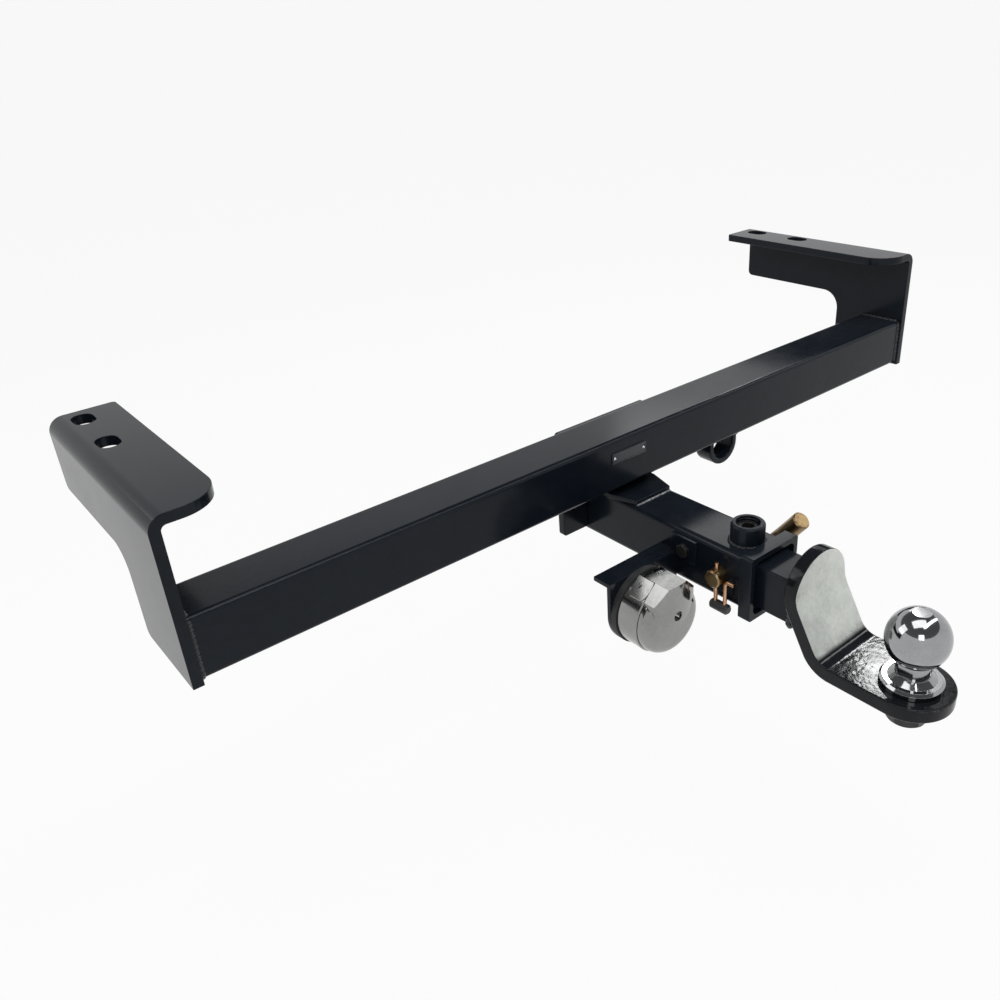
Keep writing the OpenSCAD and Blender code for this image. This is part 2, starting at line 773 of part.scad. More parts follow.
module tow_ball() {
    stem_len = tongue_t + washer_t + ball_nut_h + stem_out;
    flare = 5;
    bevel = 2;
    flat = ball_flange_t - bevel;
    color([0.82, 0.83, 0.84]) on_hitch() translate([0, ball_y, tongue_z]) {
        turned([[stem_r - 1, -stem_len], [stem_r, 1 - stem_len], [stem_r, 0],
            [ball_flange_r - 0.5, 0], [ball_flange_r, 0.5], [ball_flange_r, flat],
            [ball_flange_r - bevel, ball_flange_t], [neck_r + flare, ball_flange_t],
            [neck_r - 2, ball_flange_t + flare]]);
        translate([0, 0, ball_flange_t]) intersection() {
            cylinder(r = neck_r, h = ball_rise);
            translate([-neck_flat / 2, -neck_r, 0]) cube([neck_flat, 2 * neck_r, ball_rise]);
        }
        translate([0, 0, ball_flange_t + ball_rise]) intersection() {
            sphere(ball_r, $fn = 96);
            translate([0, 0, -ball_r]) cylinder(r = 2 * ball_r, h = 1.96 * ball_r);
        }
    }
}

module ball_washer() {
    color([0.6, 0.6, 0.6]) on_hitch() translate([0, ball_y, tongue_under - washer_t])
        difference() {
            cylinder(r = washer_r, h = washer_t);
            translate([0, 0, -eps]) cylinder(r = stem_r + stem_gap, h = washer_t + 2 * eps);
            translate([0, -1, -eps]) cube([2 * washer_r, 2, washer_t + 2 * eps]);
        }
}

module ball_nut() {
    top = tongue_under - washer_t;
    color([0.75, 0.75, 0.76]) on_hitch() translate([0, ball_y, top - ball_nut_h])
        difference() {
            intersection() {
                cylinder(r = ball_nut_af / sqrt(3), h = ball_nut_h, $fn = 6);
                union() {
                    cylinder(r1 = ball_nut_af / 2, r2 = ball_nut_af / 2 + 3, h = 3);
                    translate([0, 0, 3]) cylinder(r = ball_nut_af, h = ball_nut_h);
                }
            }
            translate([0, 0, -eps]) cylinder(r = stem_r, h = ball_nut_h + 2 * eps);
        }
}

// Places of the socket's screws round its axis
module at_socket_screws() {
    for (n = [0 : socket_screw_count - 1])
        rotate(socket_screw_turn + (n + 0.5) * 360 / socket_screw_count)
            translate([socket_screw_ring, 0, 0]) children();
}

// Frame on the socket's axis: local +Z points forward to the plug, local +Y is up
module on_socket(y) {
    translate([-socket_x, y, socket_z]) rotate([90, 0, 0]) children();
}

// Folded bracket: round plate for the socket, top flange, and a lug on the receiver's side
module socket_bracket() {
    top = socket_z + socket_flange_z;
    left = -socket_x - socket_plate_r;
    right = -receiver_half;
    neck = 26;
    lug_z = bolt_z - lug_h / 2;
    color([0.13, 0.15, 0.16]) on_hitch() difference() {
        union() {
            on_socket(gasket_y + socket_plate_t) {
                cylinder(r = socket_plate_r, h = socket_plate_t);
                translate([-socket_plate_r, 0, 0])
                    cube([2 * socket_plate_r, socket_flange_z, socket_plate_t]);
            }
            translate([-socket_x, gasket_y, top - neck])
                cube([socket_x - receiver_half, socket_plate_t, neck]);
            translate([left, gasket_y, top - socket_plate_t])
                cube([right - left, socket_flange_w, socket_plate_t]);
            translate([right - socket_plate_t, -(socket_plate_y + lug_len), lug_z])
                cube([socket_plate_t, lug_len + socket_plate_t, lug_h]);
        }
        on_socket(gasket_y + socket_plate_t) {
            translate([0, 0, -eps]) cylinder(r = cable_hole_r, h = socket_plate_t + 2 * eps);
            at_socket_screws() translate([0, 0, -eps])
                cylinder(r = socket_screw_r, h = socket_plate_t + 2 * eps);
        }
        translate([right - 2 * socket_plate_t, bolt_y, bolt_z]) rotate([0, 90, 0])
            cylinder(r = bolt_r, h = 3 * socket_plate_t);
    }
}

module bracket_bolt() {
    head_x = -(receiver_half + socket_plate_t);
    length = socket_plate_t + receiver_wall;
    color([0.55, 0.55, 0.56]) on_hitch() translate([head_x, bolt_y, bolt_z])
        rotate([0, -90, 0]) {
            cylinder(r = bolt_af / sqrt(3), h = bolt_head_t, $fn = 6);
            translate([0, 0, -length]) cylinder(r = bolt_r, h = length + eps);
        }
}

module socket_gasket() {
    color([0.05, 0.05, 0.05]) on_hitch() on_socket(gasket_y) difference() {
        cylinder(r = socket_plate_r, h = gasket_t);
        translate([0, 0, -eps]) cylinder(r = cable_hole_r, h = gasket_t + 2 * eps);
        at_socket_screws() translate([0, 0, -eps])
            cylinder(r = socket_screw_r, h = gasket_t + 2 * eps);
    }
}

// Section of the hinge hood, from its foot to its flat top, with sloping shoulders
module hood_section(foot) {
    polygon([[-hood_half, foot], [hood_half, foot], [hood_half, hood_top - cheek_w],
        [arm_half, hood_top], [-arm_half, hood_top], [-hood_half, hood_top - cheek_w]]);
}

// Cast drum with the plug's cavity, and two hinge cheeks on top
module socket_body() {
    hinge_out = drum_y - hinge_y;
    back_out = hinge_out - knuckle_r - 1;
    slot_half = arm_half + face_gap;
    room_r = knuckle_r + face_gap;
    color([0.78, 0.78, 0.76]) on_hitch() on_socket(drum_y) difference() {
        union() {
            turned([[drum_r, 0], [drum_r, drum_len - 1], [drum_r - 1, drum_len]]);
            intersection() {
                translate([0, 0, back_out]) linear_extrude(drum_len - back_out)
                    hood_section(hood_foot);
                translate([-drum_r, hinge_up, hinge_out]) rotate([0, 90, 0])
                    cylinder(r = hinge_set, h = 2 * drum_r);
            }
        }
        translate([0, 0, drum_back]) cylinder(r = cavity_r, h = drum_len);
        translate([0, 0, -eps]) cylinder(r = cable_hole_r, h = drum_len);
        translate([-slot_half, hinge_up - room_r, back_out - eps])
            cube([2 * slot_half, drum_r, drum_len]);
        translate([-hood_half, hinge_up, hinge_out]) rotate([0, 90, 0])
            cylinder(r = hinge_pin_r, h = 2 * hood_half);
        at_socket_screws() {
            translate([0, 0, -eps]) cylinder(r = socket_screw_r, h = drum_len + 2 * eps);
            translate([0, 0, drum_len - screw_head_t])
                cylinder(r = screw_head_r + 0.1, h = screw_head_t + eps);
        }
    }
}

module contact_carrier() {
    color([0.08, 0.08, 0.09]) on_hitch() on_socket(carrier_y) difference() {
        cylinder(r = cavity_r, h = carrier_t);
        translate([0, 0, -eps]) cylinder(r = contact_r, h = carrier_t + 2 * eps);
        for (n = [0 : contact_count - 1]) rotate(n * 360 / contact_count)
            translate([contact_ring_r, 0, -eps]) cylinder(r = contact_r, h = carrier_t + 2 * eps);
    }
}

// Brass contact tubes, flush with the carrier's face
module contact_pins() {
    bore = contact_r - 0.6;
    color([0.8, 0.65, 0.3]) on_hitch() on_socket(carrier_y)
        for (n = [0 : contact_count]) rotate(n * 360 / contact_count)
            translate([n < contact_count ? contact_ring_r : 0, 0, 0]) difference() {
                cylinder(r = contact_r, h = carrier_t);
                translate([0, 0, carrier_t - 5]) cylinder(r = bore, h = 5 + eps);
            }
}

// Shield-shaped outline of the hood's front, which ends below the lid's centre
module nose_outline() {
    nose_foot = -2;
    nose_half = hood_half + 1.2;
    height = 2 * (hood_top - cheek_w - nose_foot);
    side_r = (height * height / 4 + nose_half * nose_half) / (2 * nose_half);
    intersection() {
        translate([side_r - nose_half, nose_foot + height / 2]) circle(side_r);
        translate([nose_half - side_r, nose_foot + height / 2]) circle(side_r);
        hood_section(2 * nose_foot);
    }
}

// Sprung lid: rounded cap, a hood with a curved front, and an arm that goes back to the pin
module socket_lid() {
    arm_out = hinge_y - lid_back_y;
    hood_len = lid_len + hood_out;
    bow = 5;
    nose_back = 3;
    hood_r = (hood_half * hood_half + bow * bow) / (2 * bow);
    arm_low = lid_r - lid_wall + 0.5;
    room_r = knuckle_r + face_gap;
    nose_hole_r = 4.5;
    nose_hole_deep = 4;
    color([0.8, 0.8, 0.78]) on_hitch() on_socket(lid_back_y) difference() {
        union() {
            rotate_extrude() {
                square([lid_r - lid_edge_r, lid_len]);
                square([lid_r, lid_len - lid_edge_r]);
                translate([lid_r - lid_edge_r, lid_len - lid_edge_r])
                    intersection() {
                        circle(lid_edge_r);
                        square(lid_edge_r);
                    }
            }
            intersection() {
                union() {
                    linear_extrude(hood_len + 1) hood_section(hood_foot);
                    translate([0, 0, nose_back]) linear_extrude(hood_len) nose_outline();
                }
                translate([0, lid_r + hood_len, hood_len - hood_r]) rotate([90, 0, 0])
                    cylinder(r = hood_r, h = 2 * (lid_r + hood_len));
            }
            translate([-arm_half, hinge_up, -arm_out]) rotate([0, 90, 0])
                cylinder(r = knuckle_r, h = arm_w);
            translate([-arm_half, arm_low, -arm_out])
                cube([arm_w, hood_top - arm_low, arm_out + lid_len / 2]);
        }
        translate([0, 0, -eps]) cylinder(r = lid_r - lid_wall, h = lid_len - lid_wall + eps);
        translate([spring_x, hinge_up - room_r, -arm_out - room_r])
            cube([spring_room + eps, 2 * room_r, 2 * room_r]);
        translate([-hood_half, hinge_up, -arm_out]) rotate([0, 90, 0])
            cylinder(r = hinge_pin_r + running_gap, h = 2 * hood_half);
        translate([0, nose_hole_r + 3, hood_len - nose_hole_deep])
            cylinder(r = nose_hole_r, h = nose_hole_deep + eps);
    }
}

module lid_seal() {
    outer = lid_r - lid_wall;
    color([0.05, 0.05, 0.05]) on_hitch() on_socket(lid_back_y) difference() {
        translate([0, 0, lid_len - lid_wall - seal_t]) cylinder(r = outer, h = seal_t);
        translate([0, 0, -eps]) cylinder(r = outer - 6, h = lid_len);
    }
}

module lid_hinge_pin() {
    half = arm_half + cheek_w / 3;
    color([0.7, 0.7, 0.7]) on_hitch() translate([-socket_x - half, hinge_y, hinge_z])
        rotate([0, 90, 0]) turned([[hinge_pin_r - 0.4, 0], [hinge_pin_r, 0.4],
            [hinge_pin_r, 2 * half - 0.4], [hinge_pin_r - 0.4, 2 * half]]);
}

// Points of the spring's wire: straight lead, turns, straight lead
function spring_point(turn) = [spring_r * cos(360 * turn), spring_r * sin(360 * turn),
    spring_wire_r + spring_pitch * turn];
spring_steps = 8;
spring_lead = 2 * spring_wire_r;
spring_path = concat(
    [spring_point(0) + [0, -spring_lead, 0]],
    [for (i = [0 : spring_turns * spring_steps]) spring_point(i / spring_steps)],
    [spring_point(spring_turns) + [0, spring_lead, 0]]);
spring_gap = spring_pitch - 2 * spring_wire_r;
echo(spring_least_gap = spring_gap);

// Tube with flat ends along a list of points, each ring square to the path
module wire_tube(path, r, sides) {
    last = len(path) - 1;
    function along(i) = let (d = path[min(i + 1, last)] - path[max(i - 1, 0)]) d / norm(d);
    function across(i) = let (a = cross(along(i), [0, 0, 1])) a / norm(a);
    function over(i) = cross(across(i), along(i));
    points = [for (i = [0 : last], s = [0 : sides - 1])
        path[i] + r * (across(i) * cos(360 * s / sides) + over(i) * sin(360 * s / sides))];
    walls = [for (i = [0 : last - 1], s = [0 : sides - 1])
        let (a = i * sides + s, b = i * sides + (s + 1) % sides)
            each [[a, b, b + sides], [a, b + sides, a + sides]]];
    end = last * sides;
    caps = [for (s = [1 : sides - 2]) each [[0, s + 1, s], [end, end + s, end + s + 1]]];
    polyhedron(points, concat(walls, caps));
}

module lid_spring() {
    color([0.6, 0.6, 0.62]) on_hitch()
        translate([-socket_x + spring_x + spring_end_gap, hinge_y, hinge_z]) rotate([0, 90, 0])
            wire_tube(spring_path, spring_wire_r, 6);
}

module socket_screws() {
    nut_end = gasket_y + socket_plate_t + socket_nut_t + 2;
    length = nut_end - drum_front_y;
    color([0.7, 0.7, 0.72]) on_hitch() on_socket(nut_end) at_socket_screws() {
        turned([[socket_screw_r, 0], [socket_screw_r, length - screw_head_t],
            [screw_head_r, length - screw_head_t], [screw_head_r, length - 0.3]]);
    }
}

module socket_nuts() {
    back_y = gasket_y + socket_plate_t + socket_nut_t;
    color([0.7, 0.7, 0.72]) on_hitch() on_socket(back_y) at_socket_screws() difference() {
        cylinder(r = socket_nut_af / sqrt(3), h = socket_nut_t, $fn = 6);
        translate([0, 0, -eps]) cylinder(r = socket_screw_r, h = socket_nut_t + 2 * eps);
    }
}

// Rubber boot over the cable hole, with a blind hole for the cable
module socket_boot() {
    back_y = gasket_y + socket_plate_t + boot_len;
    color([0.06, 0.06, 0.06]) on_hitch() on_socket(back_y) difference() {
        turned([[boot_hole_r + 3, 0], [boot_r, boot_len - 4], [boot_r, boot_len]]);
        translate([0, 0, -eps]) cylinder(r = boot_hole_r, h = boot_len - 2);
    }
}

cross_tube();
left_bracket();
right_bracket();
saddle_plate();
doubler_plate();
receiver_tube();
receiver_collar();
weld_beads();
nameplate();
nameplate_rivets();
chain_loop();
clamp_boss();
clamp_pad();
clamp_screw();
hitch_pin();
pin_clip();
clip_grip();
shank();
tongue_plate();
tow_ball();
ball_washer();
ball_nut();
socket_bracket();
bracket_bolt();
socket_gasket();
socket_body();
contact_carrier();
contact_pins();
socket_lid();
lid_seal();
lid_hinge_pin();
lid_spring();
socket_screws();
socket_nuts();
socket_boot();
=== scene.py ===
"""Looks of the receiver tow hitch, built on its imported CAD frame.

Lengths are metres. The origin is the middle of the four chassis slots, +Y points to the
vehicle and +Z is up.
"""

import logging
import math
from dataclasses import dataclass, field
from enum import Enum

import bpy
from mathutils import Matrix, Vector


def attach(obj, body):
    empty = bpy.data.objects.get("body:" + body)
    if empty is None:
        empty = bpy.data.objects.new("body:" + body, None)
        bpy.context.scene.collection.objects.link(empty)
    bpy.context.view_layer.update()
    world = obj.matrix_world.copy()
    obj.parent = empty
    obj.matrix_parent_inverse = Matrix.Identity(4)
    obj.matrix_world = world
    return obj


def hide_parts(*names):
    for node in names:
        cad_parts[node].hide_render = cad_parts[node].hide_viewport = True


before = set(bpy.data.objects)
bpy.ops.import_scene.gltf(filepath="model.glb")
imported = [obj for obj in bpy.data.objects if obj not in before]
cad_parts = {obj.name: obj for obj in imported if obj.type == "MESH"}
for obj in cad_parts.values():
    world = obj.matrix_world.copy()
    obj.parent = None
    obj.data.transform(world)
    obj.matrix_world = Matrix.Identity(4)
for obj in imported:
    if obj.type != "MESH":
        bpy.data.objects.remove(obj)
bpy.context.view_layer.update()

LOG = logging.getLogger("hitch")
MM = 0.001
Colour = tuple[float, float, float]
Place = tuple[float, float, float]
Socket = bpy.types.NodeSocket
DUST: Colour = (0.2, 0.2, 0.21)


class Body(Enum):
    """Moving bodies of the frame."""

    HITCH = "hitch"
    PAD = "pad"
    SCREW = "screw"
    PIN = "pin"
    CLIP = "clip"
    LID = "lid"


class Run(Enum):
    """Direction in which a worked surface's grain runs: its scale along each axis."""

    X = (1.0, 60.0, 60.0)
    Y = (60.0, 1.0, 60.0)
    Z = (60.0, 60.0, 1.0)


# ---------------------------------------------------------------- node helpers


@dataclass
class Tree:
    """Small helper that adds nodes to a node tree from left to right.

    Attributes:
        tree: the node tree.
        column: number of nodes so far, which places the next one.
        spacing: distance from column to column in the node editor.
    """

    tree: bpy.types.NodeTree
    column: int = 0
    spacing: int = 190

    def add(self, kind: str, **values: object) -> bpy.types.Node:
        """Adds a node and sets its properties and unlinked inputs.

        Args:
            kind: the node's bl_idname.
            values: property names, or input names with spaces written as underscores.

        Returns:
            The new node.
        """
        node = self.tree.nodes.new(kind)
        node.location = (self.column * self.spacing, 0)
        self.column += 1
        for name, value in values.items():
            label = name.replace("_", " ")
            if label in node.inputs:
                node.inputs[label].default_value = value
            else:
                setattr(node, name, value)
        return node

    def link(self, source: Socket, target: Socket) -> None:
        """Links two sockets."""
        self.tree.links.new(source, target)

    def ramp(self, source: Socket, low: float, high: float) -> Socket:
        """Spreads a value between two limits over 0 to 1.

        Args:
            source: value to spread.
            low: value that becomes 0.
            high: value that becomes 1.

        Returns:
            The spread value's socket.
        """
        node = self.add("ShaderNodeMapRange", From_Min=low, From_Max=high)
        node.interpolation_type = "SMOOTHSTEP"
        self.link(source, node.inputs["Value"])
        return node.outputs["Result"]

    def maths(self, operation: str, a: Socket, b: Socket | float) -> Socket:
        """Adds a Math node.

        Args:
            operation: name of the operation.
            a: first value's socket.
            b: second value, a socket or a number.

        Returns:
            The result's socket.
        """
        node = self.add("ShaderNodeMath")
        node.operation = operation
        self.link(a, node.inputs[0])
        if isinstance(b, Socket):
            self.link(b, node.inputs[1])
        else:
            node.inputs[1].default_value = b
        return node.outputs[0]

    def mix(self, mask: Socket, a: Socket | Colour, b: Socket | Colour) -> Socket:
        """Mixes two colours by a mask.

        Args:
            mask: 0 gives a, 1 gives b.
            a: first colour or its socket.
            b: second colour or its socket.

        Returns:
            The mixed colour's socket.
        """
        node = self.add("ShaderNodeMix")
        node.data_type = "RGBA"
        self.link(mask, node.inputs[0])
        for socket, value in ((node.inputs[6], a), (node.inputs[7], b)):
            if isinstance(value, Socket):
                self.link(value, socket)
            else:
                socket.default_value = (*value, 1.0)
        return node.outputs[2]


def new_group(
    name: str, inputs: dict[str, float], outputs: dict[str, str]
) -> tuple[Tree, bpy.types.Node, bpy.types.Node]:
    """Starts a shader node group.

    Args:
        name: the group's name.
        inputs: names and defaults of its number inputs.
        outputs: names and socket types of its outputs.

    Returns:
        The helper on its tree, its input node and its output node.
    """
    group = bpy.data.node_groups.new(name, "ShaderNodeTree")
    for label, value in inputs.items():
        socket = group.interface.new_socket(
            name=label, in_out="INPUT", socket_type="NodeSocketFloat"
        )
        socket.default_value = value
    for label, kind in outputs.items():
        group.interface.new_socket(name=label, in_out="OUTPUT", socket_type=kind)
    tree = Tree(group)
    start = tree.add("NodeGroupInput")
    end = group.nodes.new("NodeGroupOutput")
    return tree, start, end


@dataclass(frozen=True)
class Effects:
    """Shader node groups that several finishes share.

    Attributes:
        mottle: cloudy mask.
        peel: uneven skin.
        grain: drawn lines.
        dust: dust on faces that look up.
    """

    mottle: bpy.types.NodeTree
    peel: bpy.types.NodeTree
    grain: bpy.types.NodeTree
    dust: bpy.types.NodeTree

    @staticmethod
    def mottle_group() -> bpy.types.NodeTree:
        """Cloudy mask at two scales.

        Returns:
            The group.
        """
        fine_times, fine_share = 9.0, 0.3
        tree, start, end = new_group(
            "cloudy_mask",
            {"Scale": 20.0, "Low": 0.35, "High": 0.65},
            {"Mask": "NodeSocketFloat"},
        )
        coords = tree.add("ShaderNodeTexCoord")
        broad = tree.add("ShaderNodeTexNoise", Detail=4.0, Roughness=0.6)
        fine = tree.add("ShaderNodeTexNoise", Detail=3.0)
        times = tree.maths("MULTIPLY", start.outputs["Scale"], fine_times)
        tree.link(coords.outputs["Object"], broad.inputs["Vector"])
        tree.link(coords.outputs["Object"], fine.inputs["Vector"])
        tree.link(start.outputs["Scale"], broad.inputs["Scale"])
        tree.link(times, fine.inputs["Scale"])
        part = tree.maths("MULTIPLY", fine.outputs["Fac"], fine_share)
        rest = tree.maths("MULTIPLY", broad.outputs["Fac"], 1.0 - fine_share)
        both = tree.maths("ADD", rest, part)
        spread = tree.add("ShaderNodeMapRange")
        tree.link(both, spread.inputs["Value"])
        tree.link(start.outputs["Low"], spread.inputs["From Min"])
        tree.link(start.outputs["High"], spread.inputs["From Max"])
        tree.link(spread.outputs["Result"], end.inputs["Mask"])
        return tree.tree

    @staticmethod
    def peel_group() -> bpy.types.NodeTree:
        """Slightly uneven surface, as sprayed paint or a casting has.

        Returns:
            The group.
        """
        height = 0.4 * MM
        tree, start, end = new_group(
            "uneven_skin",
            {"Scale": 500.0, "Depth": 0.1},
            {"Normal": "NodeSocketVector"},
        )
        coords = tree.add("ShaderNodeTexCoord")
        noise = tree.add("ShaderNodeTexNoise", Detail=2.0)
        tree.link(coords.outputs["Object"], noise.inputs["Vector"])
        tree.link(start.outputs["Scale"], noise.inputs["Scale"])
        bump = tree.add("ShaderNodeBump", Distance=height)
        tree.link(start.outputs["Depth"], bump.inputs["Strength"])
        tree.link(noise.outputs["Fac"], bump.inputs["Height"])
        tree.link(bump.outputs["Normal"], end.inputs["Normal"])
        return tree.tree

    @staticmethod
    def grain_group() -> bpy.types.NodeTree:
        """Fine lines drawn along one direction, as grinding and rolling leave.

        Returns:
            The group.
        """
        tree, start, end = new_group(
            "drawn_lines",
            {"Along X": 1.0, "Along Y": 60.0, "Along Z": 60.0, "Scale": 40.0},
            {"Mask": "NodeSocketFloat"},
        )
        coords = tree.add("ShaderNodeTexCoord")
        stretch = tree.add("ShaderNodeCombineXYZ")
        for axis in "XYZ":
            tree.link(start.outputs["Along " + axis], stretch.inputs[axis])
        scaled = tree.add("ShaderNodeVectorMath")
        scaled.operation = "MULTIPLY"
        tree.link(coords.outputs["Object"], scaled.inputs[0])
        tree.link(stretch.outputs["Vector"], scaled.inputs[1])
        noise = tree.add("ShaderNodeTexNoise", Detail=3.0, Roughness=0.65)
        tree.link(scaled.outputs["Vector"], noise.inputs["Vector"])
        tree.link(start.outputs["Scale"], noise.inputs["Scale"])
        tree.link(noise.outputs["Fac"], end.inputs["Mask"])
        return tree.tree

    @staticmethod
    def dust_group() -> bpy.types.NodeTree:
        """Mask of dust that settles on faces that look up.

        Returns:
            The group.
        """
        tilt, patches = (0.3, 1.0), (0.35, 0.75)
        tree, start, end = new_group(
            "settled_dust", {"Amount": 0.3, "Scale": 60.0}, {"Mask": "NodeSocketFloat"}
        )
        geometry = tree.add("ShaderNodeNewGeometry")
        split = tree.add("ShaderNodeSeparateXYZ")
        tree.link(geometry.outputs["Normal"], split.inputs["Vector"])
        up = tree.ramp(split.outputs["Z"], *tilt)
        coords = tree.add("ShaderNodeTexCoord")
        noise = tree.add("ShaderNodeTexNoise", Detail=6.0, Roughness=0.7)
        tree.link(coords.outputs["Object"], noise.inputs["Vector"])
        tree.link(start.outputs["Scale"], noise.inputs["Scale"])
        cloud = tree.ramp(noise.outputs["Fac"], *patches)
        both = tree.maths("MULTIPLY", up, cloud)
        amount = tree.maths("MULTIPLY", both, start.outputs["Amount"])
        tree.link(amount, end.inputs["Mask"])
        return tree.tree

    @classmethod
    def build(cls) -> "Effects":
        """Builds every shared group once.

        Returns:
            The groups.
        """
        return cls(
            cls.mottle_group(), cls.peel_group(), cls.grain_group(), cls.dust_group()
        )


EFFECTS = Effects.build()


# ---------------------------------------------------------------- finishes


@dataclass(frozen=True)
class Finish:
    """Base of every finish: a Principled material with cloudy colour and roughness.

    Attributes:
        name: the material's name.
        colour: main colour.
        second: colour of its clouds.
        rough: lowest and highest roughness.
        metal: 1 for bare metal, 0 for paint, rubber and plastic.
        specular: strength of its plain reflection.
        ior: its refractive index.
        cloud: scale of the clouds, per metre.
        skin: scale of the uneven skin, per metre.
        depth: strength of the uneven skin.
        dust: amount of dust on top.
    """

    name: str
    colour: Colour
    second: Colour
    rough: tuple[float, float] = (0.3, 0.45)
    metal: float = 0.0
    specular: float = 0.5
    ior: float = 1.5
    cloud: float = 25.0
    skin: float = 700.0
    depth: float = 0.05
    dust: float = 0.0

    def group(
        self, tree: Tree, group: bpy.types.NodeTree, **values: float
    ) -> bpy.types.Node:
        """Adds a shared group with its own values.

        Args:
            tree: the material's tree.
            group: the shared group.
            values: input names with spaces written as underscores.

        Returns:
            The group's node.
        """
        node = tree.add("ShaderNodeGroup")
        node.node_tree = group
        for name, value in values.items():
            node.inputs[name.replace("_", " ")].default_value = value
        return node

    def colour_socket(self, tree: Tree, mask: Socket) -> Socket:
        """Builds the colour over the surface.

        Args:
            tree: the material's tree.
            mask: the cloudy mask.

        Returns:
            The colour's socket.
        """
        mixed = tree.mix(mask, self.colour, self.second)
        if not self.dust:
            return mixed
        dust = self.group(tree, EFFECTS.dust, Amount=self.dust)
        return tree.mix(dust.outputs["Mask"], mixed, DUST)

    def rough_socket(self, tree: Tree, mask: Socket) -> Socket:
        """Builds the roughness over the surface.

        Args:
            tree: the material's tree.
            mask: the cloudy mask.

        Returns:
            The roughness's socket.
        """
        low, high = self.rough
        spread = tree.maths("MULTIPLY", mask, high - low)
        return tree.maths("ADD", spread, low)

    def normal_socket(self, tree: Tree) -> Socket:
        """Builds the uneven skin.

        Args:
            tree: the material's tree.

        Returns:
            The normal's socket.
        """
        skin = self.group(tree, EFFECTS.peel, Scale=self.skin, Depth=self.depth)
        return skin.outputs["Normal"]

    def settle(self, shader: bpy.types.Node) -> None:
        """Sets what is the same all over the surface.

        Args:
            shader: the Principled node.
        """
        shader.inputs["Metallic"].default_value = self.metal
        shader.inputs["Specular IOR Level"].default_value = self.specular
        shader.inputs["IOR"].default_value = self.ior

    def build(self) -> bpy.types.Material:
        """Builds the material.

        Returns:
            The material.
        """
        material = bpy.data.materials.new(self.name)
        material.use_nodes = True
        material.node_tree.nodes.clear()
        tree = Tree(material.node_tree)
        shader = tree.add("ShaderNodeBsdfPrincipled")
        output = tree.add("ShaderNodeOutputMaterial")
        tree.link(shader.outputs["BSDF"], output.inputs["Surface"])
        cloud = self.group(tree, EFFECTS.mottle, Scale=self.cloud)
        mask = cloud.outputs["Mask"]
        tree.link(self.colour_socket(tree, mask), shader.inputs["Base Color"])
        tree.link(self.rough_socket(tree, mask), shader.inputs["Roughness"])
        tree.link(self.normal_socket(tree), shader.inputs["Normal"])
        self.settle(shader)
        self.extra(tree, shader)
        return material

    def extra(self, tree: Tree, shader: bpy.types.Node) -> None:
        """Adds what one finish has beyond the others."""


@dataclass(frozen=True)
class Worked(Finish):
    """Metal with drawn lines in its gloss and skin.

    Attributes:
        run: direction of the lines.
        lines: strength of the lines in the roughness.
    """

    run: Run = Run.X
    lines: float = 0.15

    def rough_socket(self, tree: Tree, mask: Socket) -> Socket:
        """Adds the drawn lines to the roughness.

        Args:
            tree: the material's tree.
            mask: the cloudy mask.

        Returns:
            The roughness's socket.
        """
        x, y, z = self.run.value
        grain = self.group(tree, EFFECTS.grain, Along_X=x, Along_Y=y, Along_Z=z)
        lines = tree.maths("MULTIPLY", grain.outputs["Mask"], self.lines)
        return tree.maths("ADD", super().rough_socket(tree, mask), lines)


@dataclass(frozen=True)
class Threaded(Finish):
    """Finish with a screw thread in a hole round a vertical axis.

    Attributes:
        axis: X and Y of the thread's axis.
        pitch: distance from thread to thread.
        radius: the thread lies nearer to the axis than this.
        groove: depth of its grooves.
        bite: strength of its grooves.
    """

    axis: tuple[float, float] = (0.0, 0.0)
    pitch: float = 2.5 * MM
    radius: float = 10.4 * MM
    groove: float = 1.5 * MM
    bite: float = 0.9

    def normal_socket(self, tree: Tree) -> Socket:
        """Replaces the skin by thread grooves inside the radius.

        Args:
            tree: the material's tree.

        Returns:
            The normal's socket.
        """
        coords = tree.add("ShaderNodeTexCoord")
        moved = tree.add("ShaderNodeVectorMath")
        moved.operation = "SUBTRACT"
        moved.inputs[1].default_value = (*self.axis, 0.0)
        tree.link(coords.outputs["Object"], moved.inputs[0])
        split = tree.add("ShaderNodeSeparateXYZ")
        tree.link(moved.outputs["Vector"], split.inputs["Vector"])
        turn = tree.maths("ARCTAN2", split.outputs["Y"], split.outputs["X"])
        part = tree.maths("MULTIPLY", turn, -0.5 / math.pi)
        climb = tree.maths("DIVIDE", split.outputs["Z"], self.pitch)
        phase = tree.maths("ADD", climb, part)
        wave = tree.maths("PINGPONG", phase, 0.5)
        flat = tree.add("ShaderNodeCombineXYZ")
        tree.link(split.outputs["X"], flat.inputs["X"])
        tree.link(split.outputs["Y"], flat.inputs["Y"])
        far = tree.add("ShaderNodeVectorMath")
        far.operation = "LENGTH"
        tree.link(flat.outputs["Vector"], far.inputs[0])
        inside = tree.maths("LESS_THAN", far.outputs["Value"], self.radius)
        height = tree.maths("MULTIPLY", wave, inside)
        bump = tree.add("ShaderNodeBump", Distance=self.groove, Strength=self.bite)
        tree.link(height, bump.inputs["Height"])
        return bump.outputs["Normal"]


